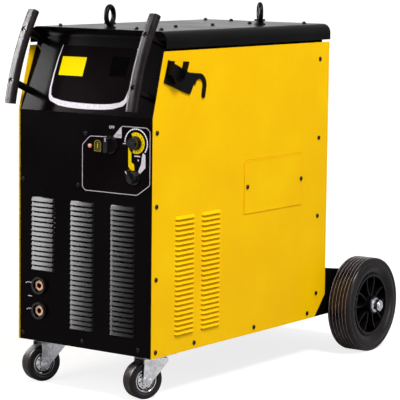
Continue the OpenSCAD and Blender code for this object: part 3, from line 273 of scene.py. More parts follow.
# nearly a mirror, with white and dark streaks
brightZinc = makeFinish("polished zinc plate", "E6E6EC", "FAFAFE", 10, (0.08, 0.16), 1.2, 0.004,
                        metallic=1.0)
# deep red-brown inside the sockets, painted shade in the bores
boreShadeCopper = makeFinish("oxidised copper", "8A3A1E", "A04A28", 8, (0.35, 0.45), 1.0, 0.01, metallic=1.0)
print("finishes made:", len(finishes))


def onlySelect(*pieces):  # the last one is the active one
    if bpy.context.object and bpy.context.object.mode != "OBJECT":
        bpy.ops.object.mode_set(mode="OBJECT")
    bpy.ops.object.select_all(action="DESELECT")
    for piece in pieces:
        piece.select_set(True)
        bpy.context.view_layer.objects.active = piece


def applyPlace(piece):
    onlySelect(piece)
    bpy.ops.object.transform_apply(location=True, rotation=True, scale=True)


def addModifier(piece, kind, **settings):
    onlySelect(piece)
    modifier = piece.modifiers.new(kind.lower(), kind)
    for name, value in settings.items():
        setattr(modifier, name, value)
    bpy.ops.object.modifier_apply(modifier=modifier.name)


def roundEdges(piece, width, segments=2, angle=30):  # a bevel in mm, shaded smooth a little past its angle
    addModifier(piece, "BEVEL", width=width * mm, segments=segments, limit_method="ANGLE",
                angle_limit=math.radians(angle), use_clamp_overlap=True, miter_outer="MITER_ARC")
    bpy.ops.object.shade_smooth_by_angle(angle=math.radians(angle + 5))
    addModifier(piece, "WEIGHTED_NORMAL", weight=100, keep_sharp=True)


def copyNode(name, pieceName):  # a CAD node's own mesh, merged and with its flat faces made whole
    piece = nodes[name].copy()
    piece.data = nodes[name].data.copy()
    piece.name = piece.data.name = pieceName
    piece.hide_render = piece.hide_viewport = False
    for key in list(piece.keys()):
        del piece[key]
    bpy.context.scene.collection.objects.link(piece)
    piece.parent = None
    onlySelect(piece)
    if piece.data.has_custom_normals:
        bpy.ops.mesh.customdata_custom_splitnormals_clear()
    bpy.ops.object.mode_set(mode="EDIT")
    bpy.ops.mesh.select_all(action="SELECT")
    bpy.ops.mesh.remove_doubles(threshold=0.00001)
    bpy.ops.mesh.dissolve_limited(angle_limit=math.radians(0.5))
    bpy.ops.object.mode_set(mode="OBJECT")
    return piece


def finishPiece(piece, body, slot, finish=None, replaced=()):
    piece.data.materials.clear()
    piece.data.materials.append(finish or finishes[slot])
    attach(piece, body)
    if replaced:
        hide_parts(*replaced)


def dressNode(name, pieceName, width):
    piece = copyNode(name, pieceName)
    roundEdges(piece, width)
    finishPiece(piece, bodyOf[name], slotOf[name], replaced=[name])


def cutBox(piece, low, high):  # cuts a box out of a piece
    bpy.ops.mesh.primitive_cube_add(size=1, location=[(a + b) / 2 for a, b in zip(low, high)])
    cutter = bpy.context.object
    cutter.scale = [b - a for a, b in zip(low, high)]
    applyPlace(cutter)
    addModifier(piece, "BOOLEAN", object=cutter, operation="DIFFERENCE", solver="EXACT")
    bpy.data.objects.remove(cutter)


# one pressed hood, repeated down a column
louvre = {
    "width": 78, "pitch": 12, "land": 1.5, "slot": 1.6, "sideSlot": 2.8,  # the side's slots stand wider open
    "rise": 5.2, "slope": 4.5, "border": 1.0, "sheet": 1.5, "round": 1.6,
    "deep": 8, "spare": 0.01,  # how deep its window is cut, and what the window is wider than the hoods
    "touch": 0.1, "weld": 0.02,  # points this near count as on a line, or are joined
}


def makeLouvreColumn(rows, slot):
    half = louvre["width"] / 2
    inner = half - louvre["border"]
    crown = inner - louvre["slope"]
    foot = louvre["pitch"] - slot
    bpy.ops.mesh.primitive_plane_add(size=1, location=(0, 0, -louvre["pitch"] / 2 * mm),
                                     rotation=(math.pi / 2, 0, 0))
    piece = bpy.context.object
    piece.scale = (louvre["width"] * mm, louvre["pitch"] * mm, 1)
    applyPlace(piece)
    bpy.ops.object.mode_set(mode="EDIT")
    for point, normal in [((0, 0, -louvre["land"]), (0, 0, 1)), ((0, 0, -foot), (0, 0, 1)),
                          ((inner, 0, 0), (1, 0, 0)), ((-inner, 0, 0), (1, 0, 0)),
                          ((crown, 0, 0), (1, 0, 0)), ((-crown, 0, 0), (1, 0, 0))]:
        bpy.ops.mesh.select_all(action="SELECT")
        bpy.ops.mesh.bisect(plane_co=[v * mm for v in point], plane_no=normal)
    mesh = bmesh.from_edit_mesh(piece.data)
    for face in mesh.faces:
        spot = face.calc_center_median() / mm
        face.select_set(abs(spot.x) < inner and spot.z < -foot)
    bpy.ops.mesh.delete(type="FACE")
    mesh = bmesh.from_edit_mesh(piece.data)
    bpy.ops.mesh.select_all(action="DESELECT")
    near = louvre["touch"]
    for vertex in mesh.verts:
        if abs(vertex.co.x) < (crown + near) * mm and abs(vertex.co.z + foot * mm) < near * mm:
            vertex.co.y = -louvre["rise"] * mm
    bpy.ops.mesh.select_mode(type="EDGE")
    mesh = bmesh.from_edit_mesh(piece.data)
    for edge in mesh.edges:
        a, b = (v.co / mm for v in edge.verts)
        ridge = abs(abs(a.x) - crown) < near and abs(abs(b.x) - crown) < near and abs(a.z - b.z) > foot / 2
        root = abs(a.z + louvre["land"]) < near and abs(b.z + louvre["land"]) < near and \
            max(abs(a.x), abs(b.x)) < crown + near
        edge.select_set(ridge or root)
    bmesh.update_edit_mesh(piece.data)
    bpy.ops.mesh.bevel(offset=louvre["round"] * mm, segments=3, affect="EDGES")
    bpy.ops.object.mode_set(mode="OBJECT")
    addModifier(piece, "SOLIDIFY", thickness=louvre["sheet"] * mm, offset=-1)
    addModifier(piece, "ARRAY", count=rows, use_relative_offset=False, use_constant_offset=True,
                constant_offset_displace=(0, 0, -louvre["pitch"] * mm), use_merge_vertices=True,
                merge_threshold=louvre["weld"] * mm)
    bpy.ops.object.shade_smooth_by_angle(angle=math.radians(50))
    return piece


# fills the windows of a panel with pressed hoods, one column after another
def dressPanel(name, pieceName, columns, turn, face, rows, top, slot):
    piece = copyNode(name, pieceName)
    parts = [piece]
    facesFront = turn % 180 == 0
    half, deep = (louvre["width"] / 2 + louvre["spare"]) * mm, louvre["deep"] * mm
    for at, count in zip(columns, rows):
        origin = Vector((at, face, top)) if facesFront else Vector((face, at, top))
        reach = Vector((half, deep, 0)) if facesFront else Vector((deep, half, 0))
        height = Vector((0, 0, count * louvre["pitch"] * mm))
        cutBox(piece, origin - reach - height, origin + reach)
        column = makeLouvreColumn(count, slot)
        column.rotation_euler = (0, 0, math.radians(turn))
        column.location = origin
        applyPlace(column)
        parts.append(column)
    onlySelect(*reversed(parts))
    bpy.ops.object.join()
    finishPiece(piece, bodyOf[name], slotOf[name], replaced=[name])


# the columns' middles, their rows of hoods and the height of their tops
louvreColumns = {"side": ((-248, -142), (24, 24), 437), "front": ((-131, -9, 114), (15, 26, 26), 462),
                 "rear": ((-122, 0, 122), (20, 20, 20), 462)}
cabinetMiddle = -90.2621  # the cabinet's own middle along the shared frame
halfWidth = 205
rearHood = 5  # how far the rear hoods stand out
spots, rows, top = louvreColumns["side"]
for name, pieceName, turn in [("side_panel_right", "sidePanelRight", 90),
                              ("side_panel_left", "sidePanelLeft", -90)]:
    face = math.copysign(halfWidth, turn) * mm
    dressPanel(name, pieceName, [(y + cabinetMiddle) * mm for y in spots], turn, face, rows, top * mm,
               louvre["sideSlot"])
spots, rows, top = louvreColumns["front"]
dressPanel("front_panel", "frontPanel", [x * mm for x in spots], 0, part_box("control_label")[1].y, rows,
           top * mm, louvre["slot"])
spots, rows, top = louvreColumns["rear"]
dressPanel("rear_panel", "rearPanel", [x * mm for x in spots], 180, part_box("rear_panel")[1].y - rearHood * mm,
           rows, top * mm, louvre["slot"])
print("panels and louvres made")

# nodes that only need their edges rounded, each with its new name and the rounding's width in mm
for name, pieceName, width in [
        ("top_cover", "coverTop", 0.5), ("bezel", "bezelSheet", 0.4), ("handle_arms", "gripArms", 0.8),
        ("handle_grips", "gripBars", 3.0), ("lifting_eyes", "liftingEyes", 0.8),
        ("torch_holder", "torchHolder", 0.8),
        ("side_screws", "sideScrews", 0.5), ("case_screws", "caseScrews", 0.5),
        ("handle_screws", "gripScrews", 0.4), ("socket_collars", "socketCollars", 1.2),
        ("caster_plates", "casterPlates", 0.6), ("caster_fork_left", "casterForkLeft", 0.6),
        ("caster_fork_right", "casterForkRight", 0.6), ("caster_bolt_left", "casterBoltLeft", 0.8),
        ("caster_bolt_right", "casterBoltRight", 0.8), ("wheel_bracket_left", "wheelBracketLeft", 0.8),
        ("wheel_bracket_right", "wheelBracketRight", 0.8), ("bottle_shelf", "bottleShelf", 0.8),
        ("bottle_cradle", "bottleCradle", 1.2), ("rear_axle", "rearAxle", 3.0),
        ("axle_nuts", "axleNuts", 0.8), ("cable_gland", "cableGland", 0.8),
        ("rear_hub_left", "rearHubLeft", 0.8), ("rear_hub_right", "rearHubRight", 0.8)]:
    dressNode(name, pieceName, width)
print("dressed copies made")


# flat prints on the front and the bezel
def ink(name, low, high, rough=(0.3, 0.42), specular=0.04):
    return makeFinish(name, low, high, 6, rough, 0.6, 0.004, specular=specular)


inks = {
    "white": ink("white screen ink", "F4F0F6", "FFFCFF"),  # clean and bright on the dark film
    "grey": ink("light grey screen ink", "D4CCD6", "E4DCE6"),  # a shade softer than the white
    "yellow": ink("yellow screen ink", "FFD400", "FFDE10", specular=0.01),  # flat and strong
    "lemon": ink("lemon screen ink", "F6D800", "FADC08", specular=0.005),  # a cooler, even yellow
    "olive": ink("olive screen ink", "8E8436", "A0954A"),  # dull, as a thin print lets the film through
    "black": ink("black screen ink", "0B090A", "121012"),  # sharp figures on the yellow and the grey
    "silver": ink("silver screen ink", "D8D2DA", "ECE6EC", (0.25, 0.35)),  # pale, with a little more sheen
}
print("inks made:", len(inks))


def arcPoints(centre, radius, start, end, steps=24):  # degrees clockwise from the top
    return [(centre[0] + radius * math.sin(math.radians(start + (end - start) * i / steps)),
             centre[1] + radius * math.cos(math.radians(start + (end - start) * i / steps)))
            for i in range(steps + 1)]


def bandPoints(centre, inner, outer, start, end, steps=24):
    return arcPoints(centre, outer, start, end, steps) + arcPoints(centre, inner, end, start, steps)


def ringOutline(radius, steps=96, centre=(0, 0)):
    return arcPoints(centre, radius, 0, 360 - 360 / steps, steps - 1)


def insetPoints(points, width):  # a closed outline moved inward, its corners mitred
    result = []
    area = sum(a[0] * b[1] - b[0] * a[1] for a, b in zip(points, points[1:] + points[:1]))
    sign = 1 if area > 0 else -1
    for i, point in enumerate(points):
        before, after = points[i - 1], points[(i + 1) % len(points)]
        a = Vector((point[0] - before[0], point[1] - before[1])).normalized()
        b = Vector((after[0] - point[0], after[1] - point[1])).normalized()
        na, nb = Vector((-a.y, a.x)) * sign, Vector((-b.y, b.x)) * sign
        middle = (na + nb).normalized()
        result.append(tuple(Vector(point) + middle * width / max(0.3, middle.dot(na))))
    return result


def roundCorners(points, radius, steps=4):  # a closed outline with its corners rounded
    result = []
    for i, point in enumerate(points):
        p, a, b = Vector(point), Vector(points[i - 1]), Vector(points[(i + 1) % len(points)])
        reach = min(radius, (a - p).length / 2.2, (b - p).length / 2.2)
        start, end = p + (a - p).normalized() * reach, p + (b - p).normalized() * reach
        for k in range(steps + 1):
            t = k / steps
            result.append(tuple(start * (1 - t) ** 2 + p * 2 * t * (1 - t) + end * t * t))
    return result


def makeFlat(name, outlines, thick):  # flat shapes in the XY plane, a second outline inside one is a hole
    data = bpy.data.curves.new(name, "CURVE")
    data.dimensions = "2D"
    data.fill_mode = "BOTH"
    data.extrude = thick / 2 * mm
    for outline in outlines:
        spline = data.splines.new("POLY")
        spline.points.add(len(outline) - 1)
        for target, point in zip(spline.points, outline):
            target.co = (point[0] * mm, point[1] * mm, 0, 1)
        spline.use_cyclic_u = True
    piece = bpy.data.objects.new(name, data)
    bpy.context.scene.collection.objects.link(piece)
    onlySelect(piece)
    bpy.ops.object.convert(target="MESH")
    return bpy.context.object


def makeText(name, words, size, thick):
    bpy.ops.object.text_add()
    piece = bpy.context.object
    piece.name = name
    piece.data.body = words
    piece.data.size = size * mm
    piece.data.align_x = "CENTER"
    piece.data.align_y = "CENTER"
    piece.data.extrude = thick / 2 * mm
    piece.data.resolution_u = 3
    onlySelect(piece)
    bpy.ops.object.convert(target="MESH")
    return bpy.context.object


labelThick = 0.6
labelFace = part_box("control_label")[0].y
frontSheet = labelFace + labelThick * mm  # the front panel's own face, behind the label


def onFront(piece, at=(0, 0), face=labelFace, lift=0.03, turn=0):  # stands a flat piece on the front
    piece.matrix_world = Matrix.Translation((at[0] * mm, face - lift * mm, at[1] * mm)) @ \
        Matrix.Rotation(math.pi / 2, 4, "X") @ Matrix.Rotation(math.radians(turn), 4, "Z")
    applyPlace(piece)
    return piece


bezel = {"tilt": 21.5, "bend": 672}  # its lean in degrees, and the height where it starts


def onBezel(piece, lift):  # lays a flat piece on the bezel, measured up from the bend
    piece.matrix_world = Matrix.Translation((0, frontSheet, bezel["bend"] * mm)) @ \
        Matrix.Rotation(math.radians(90 - bezel["tilt"]), 4, "X") @ Matrix.Translation((0, 0, lift * mm))
    applyPlace(piece)
    return piece


def joinPieces(pieces, name):
    onlySelect(*reversed(pieces))
    bpy.ops.object.join()
    pieces[0].name = pieces[0].data.name = name
    return pieces[0]


thin = 0.1  # thickness of a print, just enough to be a solid


def finishPrint(pieces, name, colour, slot="overlay_film"):
    finishPiece(joinPieces(pieces, name), "cabinet", slot, inks[colour])


def printShape(name, *outlines):  # a flat print on the control label
    return onFront(makeFlat(name, outlines, thin))


# the control label, all its places as (x, z) on the front in mm
label = {
    "outline": [(0, 489), (157, 489), (195, 515), (195, 641), (185, 650), (110, 650), (84, 623), (14, 621),
                (-9, 599), (-9, 498)],
    "inset": 0.4, "line": 1.4, "corner": 5, "innerCorner": 3.5,
}
outer = roundCorners(insetPoints(label["outline"], label["inset"]), label["corner"])
inner = roundCorners(insetPoints(label["outline"], label["inset"] + label["line"]), label["innerCorner"])
finishPrint([printShape("outline", outer, inner)], "labelOutline", "grey")

dial = {
    "at": (153, 612), "white": (31.5, 34.5), "dashes": range(-90, 130, 11), "dashLong": 9,
    "yellow": (16.5, 25), "yellowArc": (-35, 205),
    "numbers": 20.8, "numberSize": 7, "firstNumber": -18, "numberStep": 23,
    "stem": [(130, 601), (136, 592), (139, 590), (139.5, 566), (147, 562), (149, 547), (140, 545),
             (130.5, 556)],
    "band": [(173, 590), (180.5, 586), (180.8, 556), (165, 541), (159.5, 546), (168.5, 565), (170, 580)],
    "bar": [(148, 580), (165, 580), (165, 583), (148, 583)],
    "wedge": [(157, 574), (162, 574), (159.5, 568.5)],
}
overPrint = 0.06  # lift of a print that lies on another one
dashes = [printShape("dash", bandPoints(dial["at"], *dial["white"], a, a + dial["dashLong"], 4))
          for a in dial["dashes"]]
finishPrint(dashes, "dialDashes", "white")
ring = printShape("ring", bandPoints(dial["at"], *dial["yellow"], *dial["yellowArc"], 48))
finishPrint([ring, printShape("stem", dial["stem"])], "dialYellow", "yellow")
finishPrint([printShape(name, dial[name]) for name in ("band", "bar", "wedge")], "dialGrey", "grey")
numbers = []
for i in range(10):
    spot = arcPoints(dial["at"], dial["numbers"], dial["firstNumber"] + i * dial["numberStep"], 0, 1)[0]
    numbers.append(onFront(makeText("number", str(i + 1), dial["numberSize"], thin), spot, lift=overPrint))
finishPrint(numbers, "dialNumbers", "black")

switchMarks = {"field": [(84, 621), (110, 647.5), (110, 621)], "corner": 1.5,
               "onSize": 8, "onAt": (101.5, 626.5), "offSize": 9.5, "offAt": (80, 644.3)}
finishPrint([printShape("triangle", roundCorners(switchMarks["field"], switchMarks["corner"]))], "onField",
            "grey")
finishPrint([onFront(makeText("on", "ON", switchMarks["onSize"], thin), switchMarks["onAt"], lift=overPrint)],
            "onText", "black")
finishPrint([onFront(makeText("off", "OFF", switchMarks["offSize"], thin), switchMarks["offAt"],
                     face=frontSheet)], "offText", "white", "black_gloss_paint")

badge = {"outline": [(28, 585), (48.2, 585), (48.2, 606), (43, 611.5), (33, 611.5), (28, 606)],
         "lines": ((0, 1.7), (4.6, 5.8)), "corners": (1.5, 1.2),  # each line's two insets and roundings
         "mark": [(37.1, 593), (39.1, 593), (39.1, 603.5), (37.1, 603.5)]}
pieces = [printShape("badge", *[roundCorners(insetPoints(badge["outline"], inset), corner)
                                for inset, corner in zip(insets, badge["corners"])])
          for insets in badge["lines"]]
finishPrint(pieces, "lampBadge", "olive")
finishPrint([printShape("mark", badge["mark"])], "lampMark", "yellow")
print("front prints made")


def strokePoints(path, width):  # an open line given a width
    left, right = [], []
    for i, point in enumerate(path):
        a, b = Vector(path[max(0, i - 1)]), Vector(path[min(len(path) - 1, i + 1)])
        along = (b - a).normalized()
        across = Vector((-along.y, along.x)) * width / 2
        left.append(tuple(Vector(point) + across))
        right.append(tuple(Vector(point) - across))
    return left + right[::-1]


signs = {"hump": 3, "end": 4, "foot": -3.5, "width": 1.5, "minusHalf": (6, 0.9),
         "threeAt": (-173, 251), "minusAt": (-172, 216), "twoAt": (-173, 186)}


def coilSymbol(name, humps, at):  # a choke's coil sign with its two ends
    radius, foot = signs["hump"], signs["foot"]
    path = [(-signs["end"] - humps * radius, foot), (-humps * radius, foot)]
    for h in range(humps):
        centre = ((2 * h + 1 - humps) * radius, foot)
        path += arcPoints(centre, radius, -90, 90, 8)[0 if h else 1:]
    path.append((signs["end"] + humps * radius, foot))
    return onFront(makeFlat(name, [strokePoints(path, signs["width"])], thin), at, face=frontSheet)


x, y = signs["minusHalf"]
minus = onFront(makeFlat("minus", [[(-x, -y), (x, -y), (x, y), (-x, y)]], thin), signs["minusAt"],
                face=frontSheet)
finishPrint([coilSymbol("coil3", 3, signs["threeAt"]), minus, coilSymbol("coil2", 2, signs["twoAt"])],
            "socketSigns", "grey", "black_gloss_paint")

# overlay on the bezel, in mm across and up from the bend: its silver edge thins towards the top
overlay = {
    "outer": [(-119, 167), (-124.3, 134), (-126.8, 93), (-127, 57), (-124.2, 36), (-116.5, 25.5),
              (-88.6, 15.8), (-58, 12), (-30.8, 10.8), (-5, 10.5), (24.6, 11.2), (52, 12.6), (78, 15.4),
              (106, 24), (113.5, 34), (116, 57), (116.3, 93), (114, 134), (109, 167)],
    "inner": [(-117.6, 167), (-121.6, 134), (-123, 93), (-122, 58), (-118, 41), (-110, 33.5),
              (-83.2, 28.2), (-58, 25.9), (-33, 24.8), (-5, 24.3), (20.5, 24.4), (45, 25.3), (68, 27),
              (94, 32.2), (105.5, 40), (110.6, 58), (112.3, 93), (111.3, 134), (107.6, 167)],
    "window": [(41.5, 95.5), (92.5, 95.5), (92.5, 144.5), (41.5, 144.5)],
    "field": [(-110.5, 91), (-36.5, 91), (-36.5, 138.5), (-110.5, 138.5)],
    "thick": 0.6, "lift": 0.35, "printLift": 0.68,
}
film = onBezel(makeFlat("bezelOverlay", [overlay["outer"], overlay["window"]], overlay["thick"]),
               overlay["lift"])
finishPiece(film, "cabinet", "overlay_film", replaced=["bezel_overlay"])
band = makeFlat("edge", [overlay["outer"] + overlay["inner"][::-1]], thin)
finishPrint([onBezel(band, overlay["printLift"])], "overlayEdge", "silver")
square = makeFlat("square", [overlay["field"]], thin)
finishPrint([onBezel(square, overlay["printLift"])], "overlayField", "lemon")
print("bezel prints made")


def onSide(piece, lift):  # stands a flat piece on the right side, x along the cabinet
    piece.matrix_world = Matrix.Translation(((halfWidth + lift) * mm, cabinetMiddle * mm, 0)) @ \
        Matrix.Rotation(math.pi / 2, 4, "Z") @ Matrix.Rotation(math.pi / 2, 4, "X")
    applyPlace(piece)
    return piece


# access plate with a raised rim, and a cut seam round it in the side panel
plate = {"low": (-4, 412), "high": (258, 545), "corner": 8.4, "thick": 0.8,
         "rim": (0.2, 3.4), "rimThick": 0.9, "rimLift": 0.9, "rimEdge": 0.4,
         "seam": 1.6, "seamDeep": 2, "screws": ((9, 479), (249, 479)), "screwHole": 2.9}
(x0, z0), (x1, z1) = plate["low"], plate["high"]
outline = roundCorners([(x0, z0), (x1, z0), (x1, z1), (x0, z1)], plate["corner"], 5)
holes = [ringOutline(plate["screwHole"], 24, at) for at in plate["screws"]]
sheet = onSide(makeFlat("accessPlate", [outline] + holes, plate["thick"]), plate["thick"] / 2)
rim = onSide(makeFlat("plateRim", [insetPoints(outline, width) for width in plate["rim"]], plate["rimThick"]),
             plate["rimLift"])
roundEdges(rim, plate["rimEdge"], 2, 60)
finishPiece(joinPieces([sheet, rim], "accessPlate"), "cabinet", "yellow_paint", replaced=["access_plate"])
panel = bpy.data.objects["sidePanelRight"]
seam = onSide(makeFlat("seam", [insetPoints(outline, -plate["seam"]), outline], plate["seamDeep"]), 0)
addModifier(panel, "BOOLEAN", object=seam, operation="DIFFERENCE", solver="EXACT")
bpy.data.objects.remove(seam)
print("access plate made")


nearAxis = 0.001  # radius of a section's points on the axis, which merge into one


# a closed section of (radius, along) points, swept round the X axis
def makeLathe(name, section, steps=96):
    data = bpy.data.curves.new(name, "CURVE")
    data.dimensions = "3D"
    spline = data.splines.new("POLY")
    spline.points.add(len(section) - 1)
    for target, (radius, along) in zip(spline.points, section):
        target.co = (along * mm, 0, radius * mm, 1)
    spline.use_cyclic_u = True
    piece = bpy.data.objects.new(name, data)
    bpy.context.scene.collection.objects.link(piece)
    onlySelect(piece)
    bpy.ops.object.convert(target="MESH")
    piece = bpy.context.object
    bpy.ops.object.mode_set(mode="EDIT")
    bpy.ops.mesh.select_all(action="SELECT")
    bpy.ops.mesh.spin(steps=steps, angle=2 * math.pi, center=(0, 0, 0), axis=(1, 0, 0))
    bpy.ops.mesh.select_all(action="SELECT")
    bpy.ops.mesh.remove_doubles(threshold=0.000002)
    bpy.ops.mesh.normals_make_consistent(inside=False)
    bpy.ops.object.mode_set(mode="OBJECT")
    bpy.ops.object.shade_smooth_by_angle(angle=math.radians(35))
    return piece


def mirrorSection(half):  # a section given from the middle outward, made whole
    return [(r, -x) for r, x in reversed(half)] + half


def copyPiece(piece, name):
    twin = piece.copy()
    twin.data = piece.data.copy()
    twin.name = twin.data.name = name
    bpy.context.scene.collection.objects.link(twin)
    return twin


def setOnNode(piece, name, turn=0.0):  # the piece's own axis goes to the middle of a node
    low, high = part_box(name)
    piece.matrix_world = Matrix.Translation((Vector(low) + Vector(high)) / 2) @ \
        Matrix.Rotation(math.radians(turn), 4, "Z")
    applyPlace(piece)
    return piece


# sections as (radius, along) from the tyre's middle plane outward
rearTyre = {
    "tread": 124.7, "bore": 81.02, "steps": 128,
    "grooves": (5, 15, 25), "grooveWidth": 2.2, "grooveDepth": 3.2, "grooveDraft": 0.3,
    "wall": [(124.5, 27.8), (123.4, 31), (120.6, 33.2), (116, 34.2), (114.4, 33.9), (113.4, 33.1),
             (112, 33.1), (108, 34.6), (103.5, 35.3), (99, 35.1), (94.5, 33.7), (90.5, 31.4),
             (87, 28.6), (84, 25.9), (82.2, 24.6), (81.3, 24.8)],
    "lineWidth": 0.9, "lineHeight": 0.22, "lineSunk": 0.3, "lineDraft": 0.2,  # pale line beside a groove, a painted highlight on the rib's edge
}
half = []
deep = rearTyre["tread"] - rearTyre["grooveDepth"]
for groove in rearTyre["grooves"]:
    a, b = groove - rearTyre["grooveWidth"] / 2, groove + rearTyre["grooveWidth"] / 2
    half += [(rearTyre["tread"], a), (deep, a + rearTyre["grooveDraft"]),
             (deep, b - rearTyre["grooveDraft"]), (rearTyre["tread"], b)]
half += rearTyre["wall"]
half.append((rearTyre["bore"], half[-1][1]))
tyreBase = makeLathe("tyreBase", mirrorSection(half), rearTyre["steps"])
lines = []
low, high = rearTyre["tread"] - rearTyre["lineSunk"], rearTyre["tread"] + rearTyre["lineHeight"]
reach, draft = rearTyre["lineWidth"] / 2, rearTyre["lineDraft"]
for groove in sorted(way * x for x in rearTyre["grooves"] for way in (-1, 1)):
    at = groove - rearTyre["grooveWidth"] / 2 - reach
    lines.append(makeLathe("line", [(low, at - reach), (high, at - reach + draft), (high, at + reach - draft),
                                    (low, at + reach)], rearTyre["steps"]))
linesBase = joinPieces(lines, "linesBase")
# the pale lines are painted highlights, where a rib's edge would catch the light
for side in ("left", "right"):
    node = "rear_tyre_" + side
    finishPiece(setOnNode(copyPiece(tyreBase, "rearTyre" + side.title()), node), bodyOf[node], "tyre_rubber",
                replaced=[node])
    finishPiece(setOnNode(copyPiece(linesBase, "rearTyreEdges" + side.title()), node), bodyOf[node],
                "tyre_rubber", treadHighlightRubber)
bpy.data.objects.remove(tyreBase)
bpy.data.objects.remove(linesBase)
print("rear tyres made")

caster = {
    "turn": -20, "radius": 45.45, "half": 18.4, "shoulder": 5.5,
    "wall": [(34, 18.4), (31, 17.6), (29.2, 16.6), (28.62, 16)],
    # the bands are lighter brown rings on the tread, painted highlights
    "wornBands": (-8, 0, 8), "bandWidth": 2.4, "bandSunk": 0.2, "bandHeight": 0.04, "bandDraft": 0.3,
    "lip": [(25.4, 9.6), (26.2, 10.5), (26.2, 16.8), (26.8, 17.4), (28, 17.4), (28.6, 16.8)],
    "race": [(21, 9.6), (21, 12.6), (20, 13.6), (17, 14.6), (12.5, 15.6), (11.8, 17), (8.4, 17.8),
             (6.06, 17.8)],
    "web": [(21.02, 8.6), (25.2, 9.2), (26.1, 9.2)],
    "ball": [(nearAxis, -1.2), (2.1, -1.2), (2.1, 0), (1.8, 0.7), (1.1, 1.2), (nearAxis, 1.4)],
    "balls": 8, "ballRing": 16.8, "ballOut": 14.5, "firstBall": 0.2,  # the first ball's turn in radians
}
shoulder = [(caster["radius"] - caster["shoulder"] * (1 - math.cos(math.radians(a))),
             caster["half"] - caster["shoulder"] * (1 - math.sin(math.radians(a)))) for a in range(0, 91, 15)]
casterTyre = makeLathe("casterTyre", mirrorSection(shoulder + caster["wall"]))
bands = []
low, high = caster["radius"] - caster["bandSunk"], caster["radius"] + caster["bandHeight"]
reach, draft = caster["bandWidth"] / 2, caster["bandDraft"]
for at in caster["wornBands"]:
    bands.append(makeLathe("band", [(low, at - reach), (high, at - reach + draft), (high, at + reach - draft),
                                    (low, at + reach)]))
casterBands = joinPieces(bands, "casterBands")
lipRing = makeLathe("lipRing", mirrorSection(caster["lip"]))
raceDisc = makeLathe("raceDisc", mirrorSection(caster["race"]))
webRing = makeLathe("webRing", mirrorSection(caster["web"]))
balls = []
for i in range(caster["balls"]):
    for way, flip in ((-1, math.pi), (1, 0)):
        ball = makeLathe("ball", caster["ball"], 16)
        around = Matrix.Rotation(2 * math.pi * i / caster["balls"] + caster["firstBall"], 4, "X")
        spot = Matrix.Translation((way * caster["ballOut"] * mm, 0, caster["ballRing"] * mm))
        ball.matrix_world = around @ spot @ Matrix.Rotation(flip, 4, "Z")
        applyPlace(ball)
        balls.append(ball)
ballRing = joinPieces(balls, "ballRing")
for side in ("left", "right"):
    tyre, rim = "caster_tyre_" + side, "caster_rim_" + side
    end = side.title()
    for base, name, slot, finish, replaced in [
            (casterTyre, "casterTyre", "tyre_rubber", None, [tyre]),
            (casterBands, "casterTread", "tyre_rubber", casterHighlightRubber, []),
            (lipRing, "casterLip", "zinc", brightZinc, [rim]),
            (raceDisc, "casterRace", "zinc", brightZinc, []),
            (webRing, "casterWeb", "hub_plastic", None, []),
            (ballRing, "casterBalls", "hub_plastic", None, [])]:
        finishPiece(setOnNode(copyPiece(base, name + end), tyre, caster["turn"]), bodyOf[tyre], slot, finish,
                    replaced)
for base in (casterTyre, casterBands, lipRing, raceDisc, webRing, ballRing):
    bpy.data.objects.remove(base)
print("casters made")


# knobs, sockets and lamp
def barOutline(width, low, high):
    reach = width / 2
    return roundCorners([(-reach, low), (reach, low), (reach, high), (-reach, high)], width * 0.4)


def flutedOutline(radius, depth, count, steps=144):
    points = []
    for i in range(steps):
        a = 2 * math.pi * i / steps
        reach = radius + depth * math.cos(count * a)
        points.append((reach * math.sin(a), reach * math.cos(a)))
    return points


def outOfFront(piece, at, face):  # a turned piece stands out of the front, its own axis outward
    piece.matrix_world = Matrix.Translation((at[0] * mm, face, at[1] * mm)) @ \
        Matrix.Rotation(-math.pi / 2, 4, "Z")
    applyPlace(piece)
    return piece


knobLift, markThick = 0.6, 0.25  # the gap behind a knob, and the thickness of its mark
selectorLayers = [(ringOutline(16.8), 0, 4, 1), (flutedOutline(13.6, 0.5, 12), 3, 15.5, 1.2),
                  (barOutline(7.5, -12.5, 20.5), 4.5, 23.4, 1.4)]
# a layer is an outline, from, to and its edge's rounding; a mark is a bar's width and two ends, and its lift
knobs = {
    "main_switch_knob": {
        "name": "mainSwitch", "at": (80, 604), "turn": 0, "mark": (1.8, 8, 17.5), "markLift": 24.45,
        "layers": [(ringOutline(20.8), 0, 5.5, 1.2), (ringOutline(17), 4.5, 8.5, 0.8),
                   (barOutline(12, -18, 19.5), 7.5, 23.8, 1.6)],
    },
    "fine_selector_knob": {
        "name": "fineSelector", "at": (153, 612), "turn": 90, "mark": (1.6, 12, 19.2), "markLift": 24.05,
        "layers": selectorLayers,
    },
    "range_selector_knob": {
        "name": "rangeSelector", "at": (150, 531), "turn": 30, "mark": (1.6, 12, 19.2), "markLift": 24.05,
        "layers": selectorLayers,
    },
}
for node, knob in knobs.items():
    parts = []
    for outline, start, end, width in knob["layers"]:
        part = makeFlat("layer", [outline], end - start)
        part.location.z = (start + end) / 2 * mm
        applyPlace(part)
        roundEdges(part, width, 3, 50)
        parts.append(part)
    piece = onFront(joinPieces(parts, knob["name"] + "Knob"), knob["at"], lift=knobLift, turn=knob["turn"])
    finishPiece(piece, bodyOf[node], slotOf[node], replaced=[node])
# white pointer marks on the knobs, which also stand in as painted highlights at the knobs' tips
for node, knob in knobs.items():
    mark = onFront(makeFlat(knob["name"] + "Mark", [barOutline(*knob["mark"])], markThick), knob["at"],
                   lift=knob["markLift"], turn=knob["turn"])
    finishPiece(mark, bodyOf[node], slotOf[node], inks["white"])

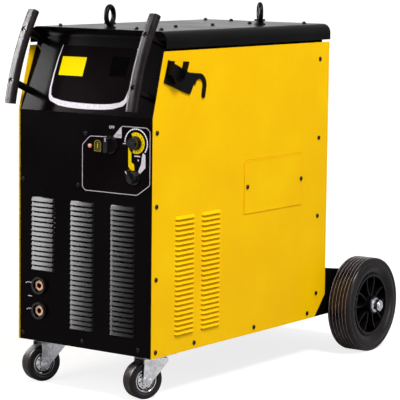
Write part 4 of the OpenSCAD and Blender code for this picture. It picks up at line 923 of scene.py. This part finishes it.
# a hexagon with a bore, and a tube closed by a plug behind it; out and deep are from the front sheet
socket = {"at": ((-140, 245), (-140, 183)), "hex": 13.4, "corner": 1.5, "edge": 1, "thick": 8, "out": 3.2,
          "bore": 6.6, "wall": 2.4, "tubeOut": 2, "deep": 26, "plug": 2, "steps": 48}
inside, outside = socket["bore"], socket["bore"] + socket["wall"]
mouth, back, end = socket["tubeOut"], -socket["deep"], -socket["deep"] - socket["plug"]
faces, bores = [], []
for at in socket["at"]:
    hexagon = roundCorners(ringOutline(socket["hex"], 6), socket["corner"])
    face = makeFlat("face", [hexagon, ringOutline(socket["bore"])], socket["thick"])
    roundEdges(face, socket["edge"], 3, 50)
    faces.append(onFront(face, at, face=frontSheet, lift=socket["out"] - socket["thick"] / 2))
    for section in ([(inside, back), (outside, back), (outside, mouth), (inside, mouth)],
                    [(nearAxis, end), (outside, end), (outside, back), (nearAxis, back)]):
        bores.append(outOfFront(makeLathe("bore", section, socket["steps"]), at, frontSheet))
finishPiece(joinPieces(faces, "outputSockets"), "cabinet", "copper", replaced=["output_sockets"])
# the bores and plugs are darkened as painted shade
finishPiece(joinPieces(bores, "socketBores"), "cabinet", "copper", boreShadeCopper)

powerLamp = {"at": (15.5, 597), "steps": 48, "section": [
    (nearAxis, -4), (5, -4), (5, 1.5), (4.5, 3), (3.2, 4.2), (1.6, 4.7), (nearAxis, 4.8)]}
lens = makeLathe("powerLamp", powerLamp["section"], powerLamp["steps"])
outOfFront(lens, powerLamp["at"], labelFace)
finishPiece(lens, "cabinet", "lamp_lens", replaced=["power_lamp"])
print("knobs, sockets and lamp made")

# the narrow strips leave some pieces alone that would mirror them from other sides
spared = {
    "bezel strip": ["coverTop"],
    "louvre strip": ["coverTop", "bezelSheet", "bezelOverlay", "overlayEdge", "overlayField"],
}
for name, pieces in spared.items():
    unlit = bpy.data.collections.new("not lit by the " + name)
    for piece in pieces:
        unlit.objects.link(bpy.data.objects[piece])
    for item in unlit.collection_objects:
        item.light_linking.link_state = "EXCLUDE"
    bpy.data.objects[name].light_linking.receiver_collection = unlit
